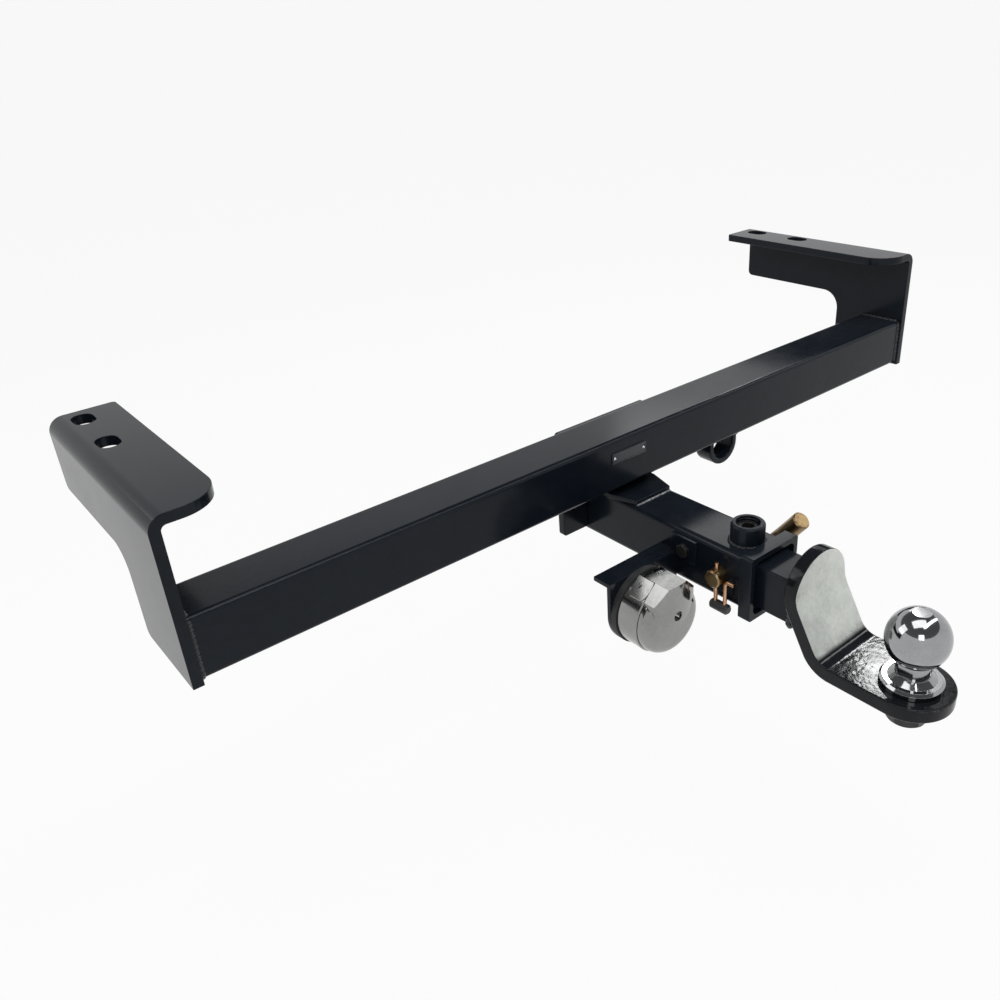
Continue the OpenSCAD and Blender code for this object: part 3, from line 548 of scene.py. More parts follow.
@dataclass(frozen=True)
class BareFronted(Finish):
    """Paint with one face ground to bare metal: the front of the ball mount's plate.

    Attributes:
        fade_from: height at which the bare metal starts to fade into paint.
        fade_to: height at which only paint is left.
        ragged: how far the fading edge wanders up and down.
        turned: Y of the normal where the bare face starts, and where it is full.
        bare: colour of the ground metal.
        stain: colour of its darker clouds.
        sheen: how metallic the ground face is.
        matt: lowest roughness of the ground face, and how much its lines add.
    """

    fade_from: float = -0.186
    fade_to: float = -0.199
    ragged: float = 9 * MM
    turned: tuple[float, float] = (-0.55, -0.75)
    bare: Colour = (0.72, 0.745, 0.7)
    stain: Colour = (0.48, 0.505, 0.48)
    sheen: float = 0.6
    matt: tuple[float, float] = (0.22, 0.3)

    def extra(self, tree: Tree, shader: bpy.types.Node) -> None:
        """Masks the bare metal by the face's direction and height.

        Args:
            tree: the material's tree.
            shader: the Principled node.
        """
        geometry = tree.add("ShaderNodeNewGeometry")
        facing = tree.add("ShaderNodeSeparateXYZ")
        tree.link(geometry.outputs["Normal"], facing.inputs["Vector"])
        forward = tree.ramp(facing.outputs["Y"], *self.turned)
        coords = tree.add("ShaderNodeTexCoord")
        place = tree.add("ShaderNodeSeparateXYZ")
        tree.link(coords.outputs["Object"], place.inputs["Vector"])
        edge = self.group(tree, EFFECTS.mottle, Scale=55.0, Low=0.2, High=0.8)
        jitter = tree.maths("MULTIPLY", edge.outputs["Mask"], self.ragged)
        level = tree.maths("ADD", place.outputs["Z"], jitter)
        high = tree.ramp(level, self.fade_to, self.fade_from)
        mask = tree.maths("MULTIPLY", forward, high)
        cloud = self.group(tree, EFFECTS.mottle, Scale=32.0, Low=0.38, High=0.72)
        steel = tree.mix(cloud.outputs["Mask"], self.bare, self.stain)
        paint = shader.inputs["Base Color"].links[0].from_socket
        tree.link(tree.mix(mask, paint, steel), shader.inputs["Base Color"])
        metal = tree.maths("MULTIPLY", mask, self.sheen)
        tree.link(metal, shader.inputs["Metallic"])
        lines = self.group(tree, EFFECTS.grain, Along_X=5.0, Along_Y=40.0, Along_Z=60.0)
        lowest, added = self.matt
        dull = tree.maths("MULTIPLY", lines.outputs["Mask"], added)
        dull = tree.maths("ADD", dull, lowest)
        spread = tree.maths("MULTIPLY", dull, mask)
        inverse = tree.add("ShaderNodeMath")
        inverse.operation = "SUBTRACT"
        inverse.inputs[0].default_value = 1.0
        tree.link(mask, inverse.inputs[1])
        painted = shader.inputs["Roughness"].links[0].from_socket
        old = tree.maths("MULTIPLY", painted, inverse.outputs[0])
        tree.link(tree.maths("ADD", old, spread), shader.inputs["Roughness"])


FRAME_PAINT = Finish(
    "frame_enamel", (0.0065, 0.0095, 0.015), (0.0105, 0.0145, 0.0205), (0.14, 0.2),
    specular=0.34, ior=1.3, cloud=9.0, skin=300.0, depth=0.025, dust=0.02,
)
WELD_PAINT = Finish(
    "weld_enamel", (0.01, 0.012, 0.018), (0.03, 0.032, 0.038), (0.2, 0.38),
    specular=0.4, cloud=220.0, skin=1400.0, depth=0.35,
)
# Bead paint with bright grey clouds: partly worn paint, partly a painted glint along
# the doubler's front bead.
WORN_GLINT_WELD = Finish(
    "worn_and_glint_weld", (0.03, 0.032, 0.036), (0.5, 0.51, 0.52), (0.2, 0.35),
    specular=0.5, metal=0.5, cloud=260.0, skin=1400.0, depth=0.35,
)
MOUNT_PAINT = BareFronted(
    "mount_enamel", (0.007, 0.0075, 0.010), (0.012, 0.013, 0.016), (0.06, 0.14),
    specular=0.4, ior=1.32, cloud=60.0, skin=240.0, depth=0.2,
)
BLANK_PLATE = Finish(
    "blank_plate", (0.017, 0.021, 0.029), (0.021, 0.025, 0.033), (0.27, 0.31),
    specular=0.5, cloud=12.0, skin=1500.0, depth=0.03,
)
RIVET = Finish(
    "rivet_alloy", (0.7, 0.7, 0.7), (0.5, 0.5, 0.5), (0.2, 0.35), metal=1.0, cloud=300.0
)
PAD_BRASS = Worked(
    "pad_brass", (0.62, 0.44, 0.2), (0.45, 0.3, 0.13), (0.25, 0.4), metal=1.0, run=Run.Z
)
BLACK_STEEL = Worked(
    "black_steel", (0.035, 0.035, 0.038), (0.06, 0.058, 0.055), (0.28, 0.42), metal=0.8,
    cloud=180.0, run=Run.Z,
)
YELLOW_ZINC = Worked(
    "yellow_zinc", (0.3, 0.225, 0.11), (0.21, 0.13, 0.07), (0.22, 0.36), metal=1.0,
    cloud=70.0, skin=900.0, depth=0.08, run=Run.X, lines=0.1,
)
COPPER_WIRE = Finish(
    "copper_wire", (0.62, 0.38, 0.24), (0.42, 0.22, 0.12), (0.2, 0.36), metal=1.0,
    cloud=160.0,
)
GRIP_RUBBER = Finish(
    "grip_rubber", (0.035, 0.036, 0.038), (0.06, 0.06, 0.062), (0.4, 0.55),
    specular=0.4, cloud=200.0, skin=1600.0, depth=0.15,
)
BALL_CHROME = Worked(
    "ball_chrome", (0.36, 0.365, 0.37), (0.3, 0.305, 0.31), (0.04, 0.08), metal=1.0,
    cloud=60.0, skin=260.0, depth=0.02, run=Run.Z, lines=0.05,
)
BRIGHT_ZINC = Worked(
    "bright_zinc", (0.55, 0.56, 0.57), (0.4, 0.41, 0.42), (0.26, 0.42), metal=1.0,
    cloud=200.0, skin=1500.0, depth=0.08, run=Run.Z, lines=0.12,
)
SOCKET_CHROME = Worked(
    "socket_chrome", (0.29, 0.29, 0.282), (0.24, 0.24, 0.232), (0.07, 0.14), metal=1.0,
    cloud=30.0, skin=240.0, depth=0.03, run=Run.Y, lines=0.05,
)
SOCKET_RUBBER = Finish(
    "socket_rubber", (0.016, 0.016, 0.017), (0.03, 0.03, 0.031), (0.5, 0.68),
    specular=0.35, cloud=120.0, skin=1300.0, depth=0.2, dust=0.08,
)
CARRIER = Finish(
    "carrier_plastic", (0.02, 0.02, 0.022), (0.03, 0.03, 0.032), (0.35, 0.5),
    cloud=200.0, skin=1500.0, depth=0.12,
)
CONTACT_BRASS = Worked(
    "contact_brass", (0.72, 0.52, 0.24), (0.55, 0.37, 0.15), (0.2, 0.34), metal=1.0,
    run=Run.Y,
)
SPRING_STEEL = Worked(
    "spring_steel", (0.5, 0.5, 0.52), (0.35, 0.35, 0.36), (0.2, 0.32), metal=1.0,
    run=Run.X,
)


# ---------------------------------------------------------------- mesh helpers


def deselect() -> None:
    """Clears the selection."""
    for obj in bpy.context.selected_objects:
        obj.select_set(False)


def take(obj: bpy.types.Object) -> None:
    """Makes one object active and the only one selected.

    Args:
        obj: the object.
    """
    deselect()
    obj.select_set(True)
    bpy.context.view_layer.objects.active = obj


def apply_modifiers(obj: bpy.types.Object) -> None:
    """Applies all of an object's modifiers in order.

    Args:
        obj: the object.
    """
    take(obj)
    for modifier in list(obj.modifiers):
        bpy.ops.object.modifier_apply(modifier=modifier.name)


def settle_place(obj: bpy.types.Object) -> None:
    """Moves an object's place into its mesh."""
    take(obj)
    bpy.ops.object.transform_apply(location=True, rotation=True, scale=True)


def join(name: str, parts: list[bpy.types.Object]) -> bpy.types.Object:
    """Joins parts into one object.

    Args:
        name: name of the joined object.
        parts: the objects to join.

    Returns:
        The joined object.
    """
    deselect()
    for part in parts:
        part.select_set(True)
    bpy.context.view_layer.objects.active = parts[0]
    if len(parts) > 1:
        bpy.ops.object.join()
    parts[0].name = name
    parts[0].data.name = name
    return parts[0]


def dress(
    obj: bpy.types.Object,
    material: bpy.types.Material,
    body: Body,
    slot: str,
    *nodes: str,
) -> bpy.types.Object:
    """Gives a finished piece its material and body, and hides the CAD nodes that it
    stands for.

    Args:
        obj: the piece.
        material: its material.
        body: the body that it rides on.
        slot: the record's material slot; not used.
        nodes: CAD nodes that it stands for.

    Returns:
        The piece.
    """
    obj.data.materials.clear()
    obj.data.materials.append(material)
    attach(obj, body.value)
    if nodes:
        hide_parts(*nodes)
    LOG.info("piece %s: %d faces, on %s", obj.name, len(obj.data.polygons), body.value)
    return obj


@dataclass
class Softened:
    """A CAD node's own shape with its edges broken, as on the real piece.

    Attributes:
        node: the CAD node.
        width: width of the broken edge.
        steps: segments over the edge.
        angle: only edges sharper than this are broken, in degrees.
        merge: corners nearer to each other than this become one.
        flat: faces that differ by less than this become one, in degrees.
        weight: how strongly large faces rule the shading.
    """

    node: str
    width: float
    steps: int = 2
    angle: float = 28.0
    merge: float = 0.02 * MM
    flat: float = 0.4
    weight: int = 100

    def build(self) -> bpy.types.Object:
        """Copies the node, merges its triangles and breaks its edges.

        Returns:
            The new piece.
        """
        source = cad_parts[self.node]
        mesh = source.data.copy()
        mesh.transform(source.matrix_world)
        obj = bpy.data.objects.new(self.node + "_finished", mesh)
        bpy.context.scene.collection.objects.link(obj)
        take(obj)
        bpy.ops.object.mode_set(mode="EDIT")
        bpy.ops.mesh.select_all(action="SELECT")
        bpy.ops.mesh.remove_doubles(threshold=self.merge)
        bpy.ops.mesh.dissolve_limited(angle_limit=math.radians(self.flat))
        bpy.ops.object.mode_set(mode="OBJECT")
        bpy.ops.object.shade_smooth()
        bevel = obj.modifiers.new("edges", "BEVEL")
        bevel.width = self.width
        bevel.segments = self.steps
        bevel.limit_method = "ANGLE"
        bevel.angle_limit = math.radians(self.angle)
        weighted = obj.modifiers.new("faces", "WEIGHTED_NORMAL")
        weighted.mode = "FACE_AREA"
        weighted.weight = self.weight
        apply_modifiers(obj)
        return obj


# ---------------------------------------------------------------- sub-assemblies


@dataclass
class Dressing:
    """One CAD node's finish and how its edges are broken.

    Attributes:
        node: the CAD node.
        finish: its finish.
        body: its body.
        slot: its slot in the record.
        edge: width of its broken edges, 0 to keep the CAD shape as it is.
    """

    node: str
    finish: Finish
    body: Body
    slot: str
    edge: float = 0.0

    def build(self, material: bpy.types.Material) -> None:
        """Dresses the node, or a copy of it with broken edges.

        Args:
            material: its finish's material.
        """
        if self.edge:
            piece = Softened(self.node, self.edge).build()
            dress(piece, material, self.body, self.slot, self.node)
            return
        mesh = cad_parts[self.node].data
        if mesh.materials:
            mesh.materials[0] = material
        else:
            mesh.materials.append(material)
        LOG.info("node %s: %s", self.node, material.name)


@dataclass
class SubAssembly:
    """A group of pieces that belong together.

    Attributes:
        materials: materials already built, by name.
        parts: the CAD nodes that it dresses.
    """

    materials: dict[str, bpy.types.Material]
    parts: list[Dressing] = field(default_factory=list)

    def material(self, finish: Finish) -> bpy.types.Material:
        """Gives a finish's material, built once.

        Args:
            finish: the finish.

        Returns:
            Its material.
        """
        if finish.name not in self.materials:
            self.materials[finish.name] = finish.build()
        return self.materials[finish.name]

    def build(self) -> None:
        """Dresses every part."""
        for part in self.parts:
            part.build(self.material(part.finish))


@dataclass
class WeldSeam:
    """One straight weld seam of overlapping ripples.

    Attributes:
        start: first point.
        end: last point.
        radius: radius of the bead.
        pitch: distance from ripple to ripple.
    """

    start: Vector
    end: Vector
    radius: float
    pitch: float = 1.6 * MM

    def places(self) -> list[tuple[Vector, Vector]]:
        """Gives the ripples' places and directions.

        Returns:
            A place and a direction for each ripple.
        """
        span = self.end - self.start
        last = max(2, round(span.length / self.pitch)) - 1
        way = span.normalized()
        return [(self.start + span * (i / last), way) for i in range(last + 1)]


@dataclass
class WeldRing:
    """A round or square weld seam as one closed path.

    Attributes:
        points: corners of the path; the last joins the first.
        radius: radius of the bead.
        pitch: distance from ripple to ripple.
    """

    points: list[Vector]
    radius: float
    pitch: float = 1.6 * MM

    def places(self) -> list[tuple[Vector, Vector]]:
        """Gives the ripples' places and directions.

        Returns:
            A place and a direction for each ripple.
        """
        places: list[tuple[Vector, Vector]] = []
        for a, b in zip(self.points, self.points[1:] + self.points[:1]):
            places += WeldSeam(a, b, self.radius, self.pitch).places()[:-1]
        return places


@dataclass
class Welds(SubAssembly):
    """Rippled beads in place of the plain bars, and those between the plates.

    Attributes:
        tube_end: X of the tube's end.
        tube_front: Y of its front.
        tube_back: Y of its back.
        tube_top: Z of its top.
        tube_bottom: Z of its underside.
        tube_corner: radius of its corners along the bead.
        bead: radius of the beads at its ends.
        sunk: how deep a bead's middle line lies in the tube.
        receiver_top: Z of the receiver's top.
        axis_z: Z of the receiver's axis.
        boss_y: Y of the clamp boss.
        boss_r: radius of the ring round it.
        boss_lift: how far the ring's middle line lies over the receiver.
        boss_bead: radius of its bead.
        boss_pitch: distance from ripple to ripple in it.
        boss_step: angle from corner to corner of the ring, in degrees.
        shank_y: Y of the shank's front.
        shank_half: half of the shank's width.
        shank_bead: radius of the bead between shank and plate.
        collar_y: Y of the collar's back.
        collar_half: half of the receiver's width.
        collar_bead: radius of the bead behind the collar.
        plate_bead: radius of the beads at the saddle plate and the chain loop.
        saddle_x: where the saddle plate's beads start and end, from the middle.
        loop_x: X of the chain loop's two sides.
        loop_y: where their beads start and end.
        loop_z: Z of their beads.
        doubler_x: half of the doubler's front width.
        doubler_y: Y of its front.
        doubler_bead: radius of the bead in front of it.
        ripple_length: half of a ripple's length, in bead radii.
        ripple_sides: sides and rings of a ripple.
        swell: how much a bead's thickness changes.
        swell_step: change of the swell's phase from ripple to ripple.
    """

    tube_end: float = 0.417
    tube_front: float = -0.168
    tube_back: float = -0.118
    tube_top: float = -0.078
    tube_bottom: float = -0.128
    tube_corner: float = 3 * MM
    bead: float = 2.6 * MM
    sunk: float = 1 * MM
    receiver_top: float = -0.1435
    axis_z: float = -0.1685
    boss_y: float = -0.29
    boss_r: float = 14.6 * MM
    boss_lift: float = 0.3 * MM
    boss_bead: float = 1.8 * MM
    boss_pitch: float = 1.2 * MM
    boss_step: int = 12
    shank_y: float = -0.3515
    shank_half: float = 20 * MM
    shank_bead: float = 3.2 * MM
    collar_y: float = -0.3065
    collar_half: float = 25 * MM
    collar_bead: float = 1.6 * MM
    plate_bead: float = 1.9 * MM
    saddle_x: tuple[float, float] = (0.028, 0.05)
    loop_x: tuple[float, float] = (0.0995, 0.1385)
    loop_y: tuple[float, float] = (-0.163, -0.143)
    loop_z: float = -0.1285
    doubler_x: float = 0.0205
    doubler_y: float = -0.1815
    doubler_bead: float = 1.7 * MM
    ripple_length: float = 0.62
    ripple_sides: tuple[int, int] = (10, 6)
    swell: float = 0.12
    swell_step: float = 2.4

    def ripple(self) -> bpy.types.Object:
        """Makes one ripple at the origin, its path along X.

        Returns:
            The ripple's object.
        """
        deselect()
        sides, rings = self.ripple_sides
        bpy.ops.mesh.primitive_uv_sphere_add(
            segments=sides, ring_count=rings, radius=1.0
        )
        obj = bpy.context.active_object
        obj.scale = (self.ripple_length, 1.0, 1.0)
        settle_place(obj)
        return obj

    def bead_along(
        self,
        name: str,
        seams: list[WeldSeam | WeldRing],
        nodes: tuple[str, ...] = (),
        finish: Finish = WELD_PAINT,
    ) -> bpy.types.Object:
        """Builds one piece of ripples along several seams.

        Args:
            name: the piece's name.
            seams: the seams.
            nodes: CAD nodes that it stands for.
            finish: the beads' finish.

        Returns:
            The piece.
        """
        model = self.ripple()
        parts: list[bpy.types.Object] = []
        for seam in seams:
            for number, (place, way) in enumerate(seam.places()):
                part = bpy.data.objects.new("ripple", model.data.copy())
                bpy.context.scene.collection.objects.link(part)
                turn = way.to_track_quat("X", "Z").to_matrix().to_4x4()
                swell = 1.0 + self.swell * math.sin(number * self.swell_step)
                size = Matrix.Scale(seam.radius * swell, 4)
                part.data.transform(Matrix.Translation(place) @ turn @ size)
                parts.append(part)
        bpy.data.objects.remove(model)
        piece = join(name, parts)
        take(piece)
        bpy.ops.object.shade_smooth()
        return dress(piece, self.material(finish), Body.HITCH, "weld_paint", *nodes)

    def tube_ring(self, x: float) -> WeldRing:
        """Gives the seam round the tube near one end.

        Args:
            x: the seam's place along the tube.

        Returns:
            The seam.
        """
        corner = self.tube_corner
        front = self.tube_front + self.sunk
        back = self.tube_back - self.sunk
        top = self.tube_top - self.sunk
        low = self.tube_bottom + self.sunk
        path = (
            (front + corner, top), (back - corner, top), (back, top - corner),
            (back, low + corner), (back - corner, low), (front + corner, low),
            (front, low + corner), (front, top - corner),
        )
        return WeldRing([Vector((x, y, z)) for y, z in path], self.bead)

    def square_ring(self, y: float, half: float, radius: float) -> WeldRing:
        """Gives a square seam round the receiver's axis.

        Args:
            y: the seam's place along the axis.
            half: half of the square's side.
            radius: radius of the bead.

        Returns:
            The seam.
        """
        corners = ((-1, -1), (1, -1), (1, 1), (-1, 1))
        path = [Vector((x * half, y, self.axis_z + z * half)) for x, z in corners]
        return WeldRing(path, radius)

    def boss_ring(self) -> WeldRing:
        """Gives the seam round the clamp boss.

        Returns:
            The seam.
        """
        r, y = self.boss_r, self.boss_y
        z = self.receiver_top + self.boss_lift
        turns = [math.radians(a) for a in range(0, 360, self.boss_step)]
        path = [Vector((r * math.cos(a), y + r * math.sin(a), z)) for a in turns]
        return WeldRing(path, self.boss_bead, self.boss_pitch)

    def plate_seams(self) -> list[WeldSeam]:
        """Gives the seams at the saddle plate and at the chain loop's two sides.

        Returns:
            The four seams.
        """
        near, far = self.saddle_x
        seams: list[WeldSeam] = []
        for span in ((-far, -near), (near, far)):
            start, end = (Vector((x, self.tube_back, self.tube_bottom)) for x in span)
            seams.append(WeldSeam(start, end, self.plate_bead))
        for x in self.loop_x:
            start, end = (Vector((x, y, self.loop_z)) for y in self.loop_y)
            seams.append(WeldSeam(start, end, self.plate_bead))
        return seams

    def doubler_seam(self) -> WeldSeam:
        """Gives the seam in front of the doubler plate.

        Returns:
            The seam.
        """
        left, right = (
            Vector((x, self.doubler_y, self.receiver_top))
            for x in (-self.doubler_x, self.doubler_x)
        )
        return WeldSeam(left, right, self.doubler_bead)

    def build(self) -> None:
        """Builds all the beads."""
        end = self.tube_end - self.sunk
        tube = [self.tube_ring(-end), self.tube_ring(end)]
        shank = self.square_ring(self.shank_y, self.shank_half, self.shank_bead)
        collar = self.square_ring(self.collar_y, self.collar_half, self.collar_bead)
        self.bead_along("tube_end_welds", tube, ("weld_beads",))
        self.bead_along("boss_weld", [self.boss_ring()])
        self.bead_along("shank_weld", [shank])
        self.bead_along("plate_welds", self.plate_seams())
        # The doubler's bead takes bright grey clouds, partly worn paint and partly a
        # painted glint.
        self.bead_along("doubler_weld", [self.doubler_seam()], finish=WORN_GLINT_WELD)
        self.bead_along("collar_weld", [collar])


@dataclass
class Frame(SubAssembly):
    """Cross tube, brackets and the plates welded to them."""

    def __post_init__(self) -> None:
        """Lists the parts."""
        paint = (FRAME_PAINT, Body.HITCH, "frame_paint")
        self.parts = [
            Dressing("cross_tube", *paint),
            Dressing("left_bracket", *paint, 0.9 * MM),
            Dressing("right_bracket", *paint, 0.9 * MM),
            Dressing("saddle_plate", *paint, 0.8 * MM),
            Dressing("doubler_plate", *paint, 0.8 * MM),
            Dressing("chain_loop", *paint, 1.4 * MM),
            Dressing("nameplate", BLANK_PLATE, Body.HITCH, "blank_plate", 0.25 * MM),
            Dressing("nameplate_rivets", RIVET, Body.HITCH, "rivet_alloy"),
        ]


@dataclass
class PlateRim(SubAssembly):
    """Pressed rim round the blank nameplate.

    Attributes:
        low: the rim's low corner.
        high: its high corner.
        width: its width.
        edge: width of its rounded edges.
        sharp: edges sharper than this stay sharp in the shading, in degrees.
    """

    low: Vector = field(default_factory=lambda: Vector((-0.0384, -0.1694, -0.1009)))
    high: Vector = field(default_factory=lambda: Vector((0.0024, -0.1688, -0.0911)))
    width: float = 0.9 * MM
    edge: float = 0.2 * MM
    sharp: float = 50.0

    def build(self) -> None:
        """Models the rim as a thin frame with rounded edges."""
        deselect()
        middle = (self.low + self.high) / 2
        size = self.high - self.low
        upright = (math.radians(90.0), 0.0, 0.0)
        bpy.ops.mesh.primitive_plane_add(size=1.0, rotation=upright)
        obj = bpy.context.active_object
        obj.scale = (size.x, size.z, 1.0)
        settle_place(obj)
        bpy.ops.object.mode_set(mode="EDIT")
        bpy.ops.mesh.select_all(action="SELECT")
        bpy.ops.mesh.inset(thickness=self.width, depth=0.0)
        bpy.ops.mesh.delete(type="FACE")
        bpy.ops.mesh.select_all(action="SELECT")
        bpy.ops.mesh.extrude_region_move(
            TRANSFORM_OT_translate={"value": (0.0, -size.y, 0.0)}
        )
        bpy.ops.mesh.select_all(action="SELECT")
        bpy.ops.mesh.normals_make_consistent(inside=False)
        bpy.ops.object.mode_set(mode="OBJECT")
        obj.location = (middle.x, self.high.y, middle.z)
        settle_place(obj)
        obj.name = "nameplate_rim"
        obj.data.name = "nameplate_rim"
        bevel = obj.modifiers.new("edges", "BEVEL")
        bevel.width = self.edge
        bevel.segments = 2
        apply_modifiers(obj)
        bpy.ops.object.shade_smooth_by_angle(angle=math.radians(self.sharp))
        dress(obj, self.material(BLANK_PLATE), Body.HITCH, "blank_plate")


@dataclass
class Receiver(SubAssembly):
    """Receiver tube with its collar, boss, clamp screw, pin and clip.

    Attributes:
        boss_axis: X and Y of the boss's axis.
    """

    boss_axis: tuple[float, float] = (0.0, -0.29)

    def __post_init__(self) -> None:
        """Lists the parts."""
        paint = (FRAME_PAINT, Body.HITCH, "frame_paint")
        boss = Threaded(
            "boss_enamel", FRAME_PAINT.colour, FRAME_PAINT.second, (0.25, 0.4),
            specular=0.3, ior=1.35, cloud=90.0, axis=self.boss_axis, radius=10.6 * MM,
        )
        self.parts = [
            Dressing("receiver_tube", *paint, 0.5 * MM),
            Dressing("receiver_collar", *paint, 0.8 * MM),
            Dressing("clamp_boss", boss, Body.HITCH, "frame_paint", 0.5 * MM),
            Dressing("clamp_pad", PAD_BRASS, Body.PAD, "pad_brass", 0.3 * MM),
            Dressing("clamp_screw", BLACK_STEEL, Body.SCREW, "black_steel", 0.4 * MM),
            Dressing("hitch_pin", YELLOW_ZINC, Body.PIN, "yellow_zinc", 0.6 * MM),
            Dressing("pin_clip", COPPER_WIRE, Body.CLIP, "copper_wire", 0.3 * MM),
            Dressing("clip_grip", GRIP_RUBBER, Body.CLIP, "grip_rubber", 0.6 * MM),
        ]


@dataclass
class BallMount(SubAssembly):
    """Shank, plate, tow ball, washer and nut."""

    def __post_init__(self) -> None:
        """Lists the parts."""
        self.parts = [
            Dressing("shank", FRAME_PAINT, Body.HITCH, "mount_paint", 0.5 * MM),
            Dressing("tongue_plate", MOUNT_PAINT, Body.HITCH, "mount_paint", 1.3 * MM),
            Dressing("tow_ball", BALL_CHROME, Body.HITCH, "ball_chrome", 0.5 * MM),
            Dressing("ball_washer", BLACK_STEEL, Body.HITCH, "black_steel", 0.3 * MM),
            Dressing("ball_nut", BLACK_STEEL, Body.HITCH, "black_steel", 0.4 * MM),
        ]


@dataclass
class TrailerSocket(SubAssembly):
    """Electric socket on its folded bracket."""

    def __post_init__(self) -> None:
        """Lists the parts."""
        body = Body.HITCH
        self.parts = [
            Dressing("socket_bracket", FRAME_PAINT, body, "frame_paint", 0.6 * MM),
            Dressing("bracket_bolt", BLACK_STEEL, body, "black_steel", 0.3 * MM),
            Dressing("socket_gasket", SOCKET_RUBBER, body, "socket_rubber", 0.7 * MM),
            Dressing("socket_body", SOCKET_CHROME, body, "socket_chrome", 0.5 * MM),
            Dressing("contact_carrier", CARRIER, body, "carrier_plastic", 0.2 * MM),
            Dressing("contact_pins", CONTACT_BRASS, body, "contact_brass"),
            Dressing("socket_lid", SOCKET_CHROME, Body.LID, "socket_chrome", 0.7 * MM),
            Dressing("lid_seal", SOCKET_RUBBER, Body.LID, "socket_rubber", 0.4 * MM),
            Dressing("lid_hinge_pin", BRIGHT_ZINC, body, "bright_zinc"),
            Dressing("lid_spring", SPRING_STEEL, body, "spring_steel"),
            Dressing("socket_screws", BRIGHT_ZINC, body, "bright_zinc", 0.3 * MM),
            Dressing("socket_nuts", BRIGHT_ZINC, body, "bright_zinc", 0.25 * MM),
            Dressing("socket_boot", SOCKET_RUBBER, body, "socket_rubber", 0.6 * MM),
        ]


# ---------------------------------------------------------------- studio


@dataclass(frozen=True)
class Softbox:
    """A soft lamp.

    Attributes:
        name: the lamp's name.
        place: where it stands.
        aim: the point that it faces.
        size: width and height.
        power: power in watts.
    """

    name: str
    place: Place
    aim: Place
    size: tuple[float, float]
    power: float

    def build(self) -> None:
        """Adds the lamp."""
        lamp = bpy.data.lights.new(self.name, "AREA")
        lamp.shape = "RECTANGLE"
        lamp.size, lamp.size_y = self.size
        lamp.energy = self.power
        obj = bpy.data.objects.new(self.name, lamp)
        obj.location = self.place
        way = Vector(self.aim) - Vector(self.place)
        obj.rotation_euler = way.to_track_quat("-Z", "Y").to_euler()
        obj.visible_camera = False
        bpy.context.scene.collection.objects.link(obj)


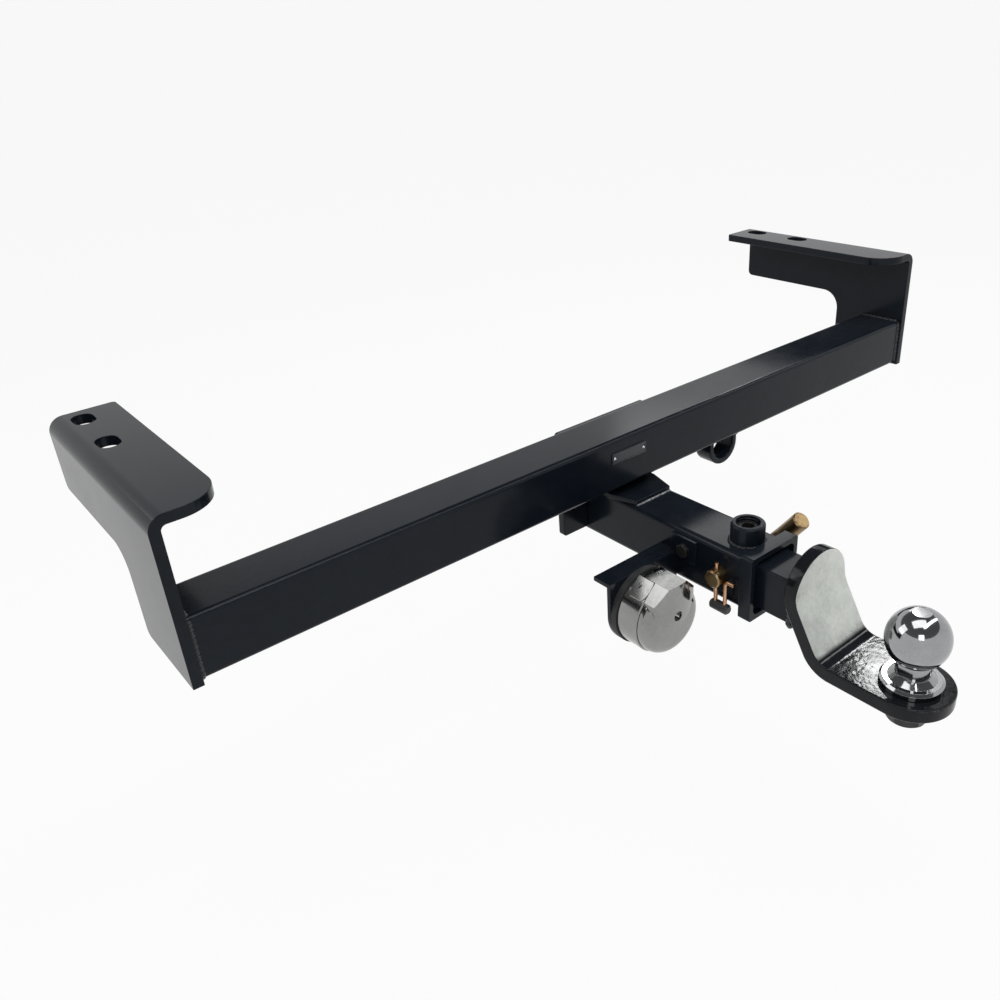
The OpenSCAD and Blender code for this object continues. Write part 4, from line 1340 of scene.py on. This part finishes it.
@dataclass
class Studio:
    """Floor, light and camera.

    Attributes:
        floor_z: the floor's height.
        reach: radius of the floor.
        wall: height of the floor's rim.
        sides: number of sides of the round floor.
        glow: share of plain white that the floor shows to the camera and in mirrors.
        pale: the floor's colour in the lamps' light.
        horizon: the sky's colour low down.
        zenith: its colour overhead.
        rise: steepness at which the sky starts to darken, and where it ends.
        middle: the point that the general lamps face.
        sensor: width of the camera's sensor, in millimetres.
        near: nearest distance that the camera sees.
        eye: the camera's place.
        azimuth: its heading, in degrees from +Y to +X.
        drop: how far it looks down, in degrees.
        roll: its roll, in degrees.
        focal: focal length, in image widths.
        shift: shift of the lens, in image widths.
    """

    floor_z: float = -0.42
    reach: float = 14.0
    wall: float = 9.0
    sides: int = 96
    glow: float = 0.93
    pale: Colour = (0.85, 0.85, 0.85)
    horizon: Colour = (0.2, 0.205, 0.215)
    zenith: Colour = (0.14, 0.145, 0.15)
    rise: tuple[float, float] = (0.1, 0.9)
    middle: Place = (0.0, -0.2, -0.1)
    sensor: float = 36.0
    near: float = 0.01
    eye: Place = (-0.5377, -0.7028, 0.2555)
    azimuth: float = 38.8
    drop: float = 27.5
    roll: float = -3.3
    focal: float = 0.9171
    shift: tuple[float, float] = (-0.0528, -0.0081)

    def camera(self) -> None:
        """Adds the camera at the photograph's viewing angle."""
        data = bpy.data.cameras.new("camera")
        data.sensor_width = self.sensor
        data.lens = self.focal * data.sensor_width
        data.shift_x, data.shift_y = self.shift
        data.clip_start = self.near
        obj = bpy.data.objects.new("camera", data)
        az, el, roll = (math.radians(a) for a in (self.azimuth, self.drop, self.roll))
        ahead = Vector(
            (math.sin(az) * math.cos(el), math.cos(az) * math.cos(el), -math.sin(el))
        )
        level = ahead.cross(Vector((0.0, 0.0, 1.0))).normalized()
        steep = level.cross(ahead)
        right = math.cos(roll) * level + math.sin(roll) * steep
        above = math.cos(roll) * steep - math.sin(roll) * level
        turn = Matrix((right, above, -ahead)).transposed()
        obj.matrix_world = Matrix.Translation(self.eye) @ turn.to_4x4()
        bpy.context.scene.collection.objects.link(obj)
        bpy.context.scene.camera = obj

    def cove(self) -> bpy.types.Object:
        """Models a round floor whose rim rises all round as a backdrop.

        Returns:
            The floor's object.
        """
        deselect()
        bpy.ops.mesh.primitive_circle_add(
            vertices=self.sides,
            radius=self.reach,
            fill_type="NGON",
            location=(0.0, 0.0, self.floor_z),
        )
        obj = bpy.context.active_object
        obj.name = "floor"
        bpy.ops.object.mode_set(mode="EDIT")
        bpy.ops.mesh.select_mode(type="EDGE")
        bpy.ops.mesh.select_all(action="SELECT")
        bpy.ops.mesh.extrude_edges_move(
            TRANSFORM_OT_translate={"value": (0.0, 0.0, self.wall)}
        )
        bpy.ops.mesh.select_mode(type="VERT")
        bpy.ops.object.mode_set(mode="OBJECT")
        return obj

    def floor(self) -> None:
        """Adds the pale floor, white behind the object and darkened by its shadow."""
        obj = self.cove()
        material = bpy.data.materials.new("floor")
        material.use_nodes = True
        tree = Tree(material.node_tree)
        shader = material.node_tree.nodes["Principled BSDF"]
        output = material.node_tree.nodes["Material Output"]
        shader.inputs["Base Color"].default_value = (*self.pale, 1.0)
        shader.inputs["Roughness"].default_value = 0.9
        shader.inputs["Specular IOR Level"].default_value = 0.0
        glow = tree.add("ShaderNodeEmission", Color=(1.0, 1.0, 1.0, 1.0), Strength=1.0)
        path = tree.add("ShaderNodeLightPath")
        seen = tree.maths(
            "MAXIMUM", path.outputs["Is Camera Ray"], path.outputs["Is Glossy Ray"]
        )
        seen = tree.maths("MAXIMUM", seen, path.outputs["Is Transmission Ray"])
        share = tree.maths("MULTIPLY", seen, self.glow)
        mix = tree.add("ShaderNodeMixShader")
        tree.link(share, mix.inputs["Fac"])
        tree.link(shader.outputs["BSDF"], mix.inputs[1])
        tree.link(glow.outputs["Emission"], mix.inputs[2])
        tree.link(mix.outputs["Shader"], output.inputs["Surface"])
        obj.data.materials.append(material)

    def world(self) -> None:
        """Sets a soft even sky, darker overhead than at the horizon."""
        world = bpy.data.worlds.new("studio")
        world.use_nodes = True
        world.node_tree.nodes.clear()
        tree = Tree(world.node_tree)
        coords = tree.add("ShaderNodeTexCoord")
        split = tree.add("ShaderNodeSeparateXYZ")
        tree.link(coords.outputs["Generated"], split.inputs["Vector"])
        height = tree.ramp(split.outputs["Z"], *self.rise)
        colour = tree.mix(height, self.horizon, self.zenith)
        back = tree.add("ShaderNodeBackground", Strength=1.0)
        output = tree.add("ShaderNodeOutputWorld")
        tree.link(colour, back.inputs["Color"])
        tree.link(back.outputs["Background"], output.inputs["Surface"])
        bpy.context.scene.world = world

    def lamps(self) -> None:
        """Adds two general lamps, and smaller ones aimed at single pieces."""
        lid = (-0.07, -0.25, -0.18)
        receiver = (-0.03, -0.27, -0.16)
        tongue = (-0.01, -0.42, -0.2)
        right = (0.85, -0.15, 0.0)
        for box in (
            Softbox("overhead", (-0.2, -0.4, 1.9), self.middle, (1.6, 1.05), 14.0),
            Softbox("lid_fill", (-1.05, 0.72, 0.82), lid, (0.8, 0.8), 4.6),
            Softbox("receiver_fill", (1.45, 0.97, 0.92), receiver, (0.6, 0.44), 1.6),
            Softbox("plate_glint", (1.55, 0.385, 1.13), tongue, (0.11, 0.17), 2.0),
            Softbox("flange_fill", (1.59, 0.29, 1.14), tongue, (0.22, 0.26), 0.2),
            Softbox("edge_strip", (0.85, -0.85, 1.0), right, (2.1, 0.18), 8.5),
            Softbox("front_left", (-1.5, -1.6, 1.3), self.middle, (0.7, 0.7), 9.0),
        ):
            box.build()

    def build(self) -> None:
        """Sets up the whole studio."""
        self.camera()
        self.floor()
        self.world()
        self.lamps()
        bpy.context.scene.view_settings.view_transform = "Standard"


def main() -> None:
    """Builds the studio and every sub-assembly in order."""
    logging.basicConfig(level=logging.INFO)
    Studio().build()
    materials: dict[str, bpy.types.Material] = {}
    for part in (Frame, PlateRim, Receiver, BallMount, TrailerSocket, Welds):
        part(materials).build()
        LOG.info("built %s", part.__name__)
    deselect()


if __name__ == "__main__":
    main()
